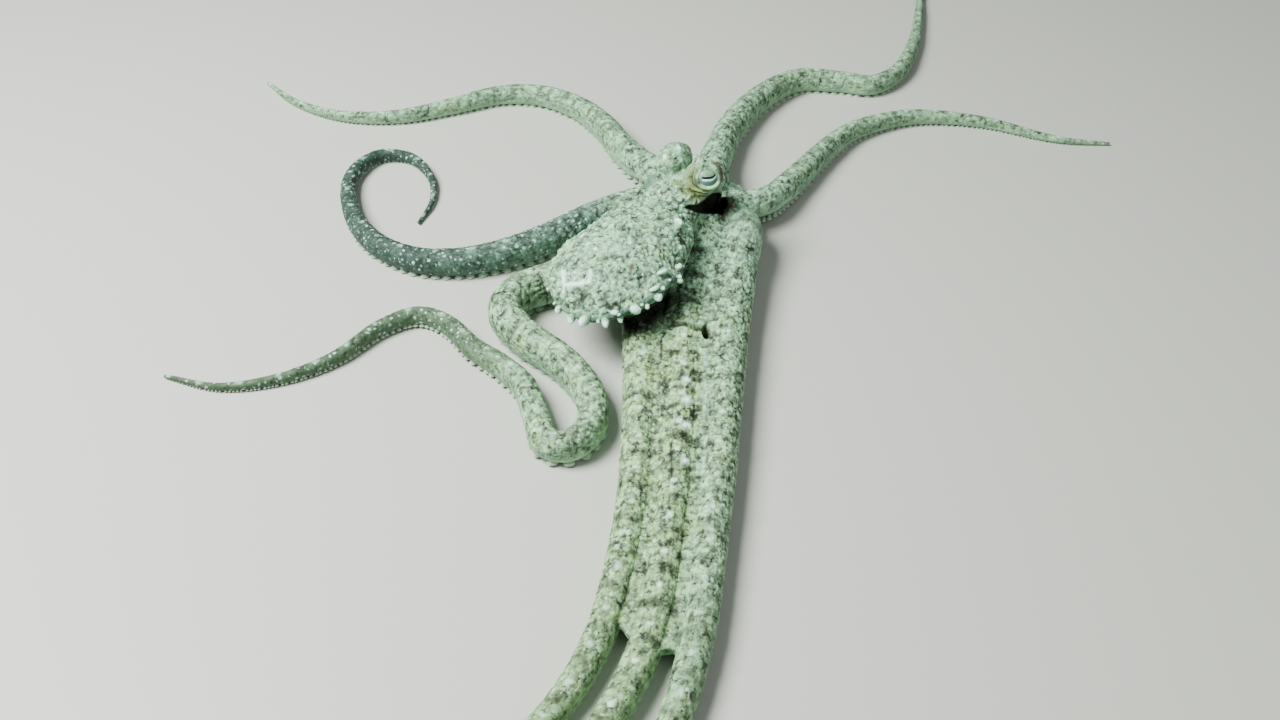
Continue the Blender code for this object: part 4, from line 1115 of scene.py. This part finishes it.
# The wall's outline from the root over the lip and in: shares along the tube, radii in mm, and
# how dark the hollow is painted, as painted shade
FUNNEL_OUTLINE = (
    (0, 4.9, 0), (0.2, 5.0, 0), (0.4, 4.95, 0), (0.6, 4.7, 0), (0.75, 4.3, 0), (0.87, 3.7, 0),
    (0.95, 3.05, 0), (1.0, 2.3, 0), (0.99, 1.8, 0.3), (0.93, 1.5, 0.7), (0.8, 1.3, 1), (0.6, 1.0, 1),
    (0.5, 0.4, 1),
)
FUNNEL_SIDES, FUNNEL_PLEATS = 48, 7
FUNNEL_SHADE, FUNNEL_BLUE = (0.045, 0.105, 0.066), (0.105, 0.235, 0.145)
tube = FUNNEL_TO - FUNNEL_FROM
turns = circle(FUNNEL_SIDES)
rings = []
for share, radius, _ in FUNNEL_OUTLINE:
    pleat = 1 + 0.03 * np.sin(turns * FUNNEL_PLEATS) * ease(0.5, 1, share)
    out = spokes(turns, *upright(np.array(tube.normalized())), pleat)
    rings.append(np.array(FUNNEL_FROM) + np.array(tube) * share + out * radius * MM)
funnel = shape_object("breathing_funnel", *ring_mesh(rings))
rounder = funnel.modifiers.new("rounder", "SUBSURF")
rounder.levels = rounder.render_levels = 1
paint(funnel.data, "hollow", np.repeat([dark for _, _, dark in FUNNEL_OUTLINE], FUNNEL_SIDES))
look, wires, place, shader = new_look(
    "funnel", {"Roughness": 0.45, "Subsurface Weight": 0.1, "Subsurface Scale": 2 * MM})
fine = wires.noise(place, 0.6 * MM)
colour = (wires.noise(place, 3 * MM) * 0.8 + fine * 0.2).between(0.35, 0.65).colour(FUNNEL_SHADE, FUNNEL_BLUE)
# The inside of the tube is painted dark, as shade
colour = wires.read("hollow").colour(colour, DEEP_BROWN)
join(shader, {"Base Color": colour, "Normal": fine.bump(0.4, 0.08 * MM)})
funnel.data.materials.append(look)
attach(funnel, "root")
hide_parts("funnel")

# The floor and the light
# The animal lies on a plain pale floor, a flat sheet far larger than the view. A soft lamp on the
# upper left, a weak one on the right and a dim even room light it, as daylight does in the shallows.
FLOOR_GREY, ROOM_WHITE, ROOM_STRENGTH = (0.41, 0.43, 0.38, 1), (0.9, 0.95, 1, 1), 0.27
FLOOR_CORNERS = np.array([(-2, -2, 0), (2, -2, 0), (2, 2, 0), (-2, 2, 0)])
LAMPS_AIM = Vector((-0.01, -0.05, 0))
# Each lamp's place, size and power
LAMPS = {"key": ((-0.36, -0.10, 0.50), 0.30, 13.5), "fill": ((0.45, -0.45, 0.55), 0.6, 1.5)}
floor = shape_object("floor", FLOOR_CORNERS, [(0, 1, 2, 3)])
look, _, _, _ = new_look("floor", {"Base Color": FLOOR_GREY})
floor.data.materials.append(look)

world = bpy.data.worlds.new("room")
world.use_nodes = True
room = world.node_tree.nodes["Background"]
room.inputs["Color"].default_value = ROOM_WHITE
room.inputs["Strength"].default_value = ROOM_STRENGTH
bpy.context.scene.world = world
for name, (place, size, power) in LAMPS.items():
    light = bpy.data.lights.new(name, "AREA")
    light.size = size
    light.energy = power
    lamp = bpy.data.objects.new(name, light)
    lamp.location = place
    lamp.rotation_euler = (LAMPS_AIM - lamp.location).to_track_quat("-Z", "Y").to_euler()
    link(lamp)
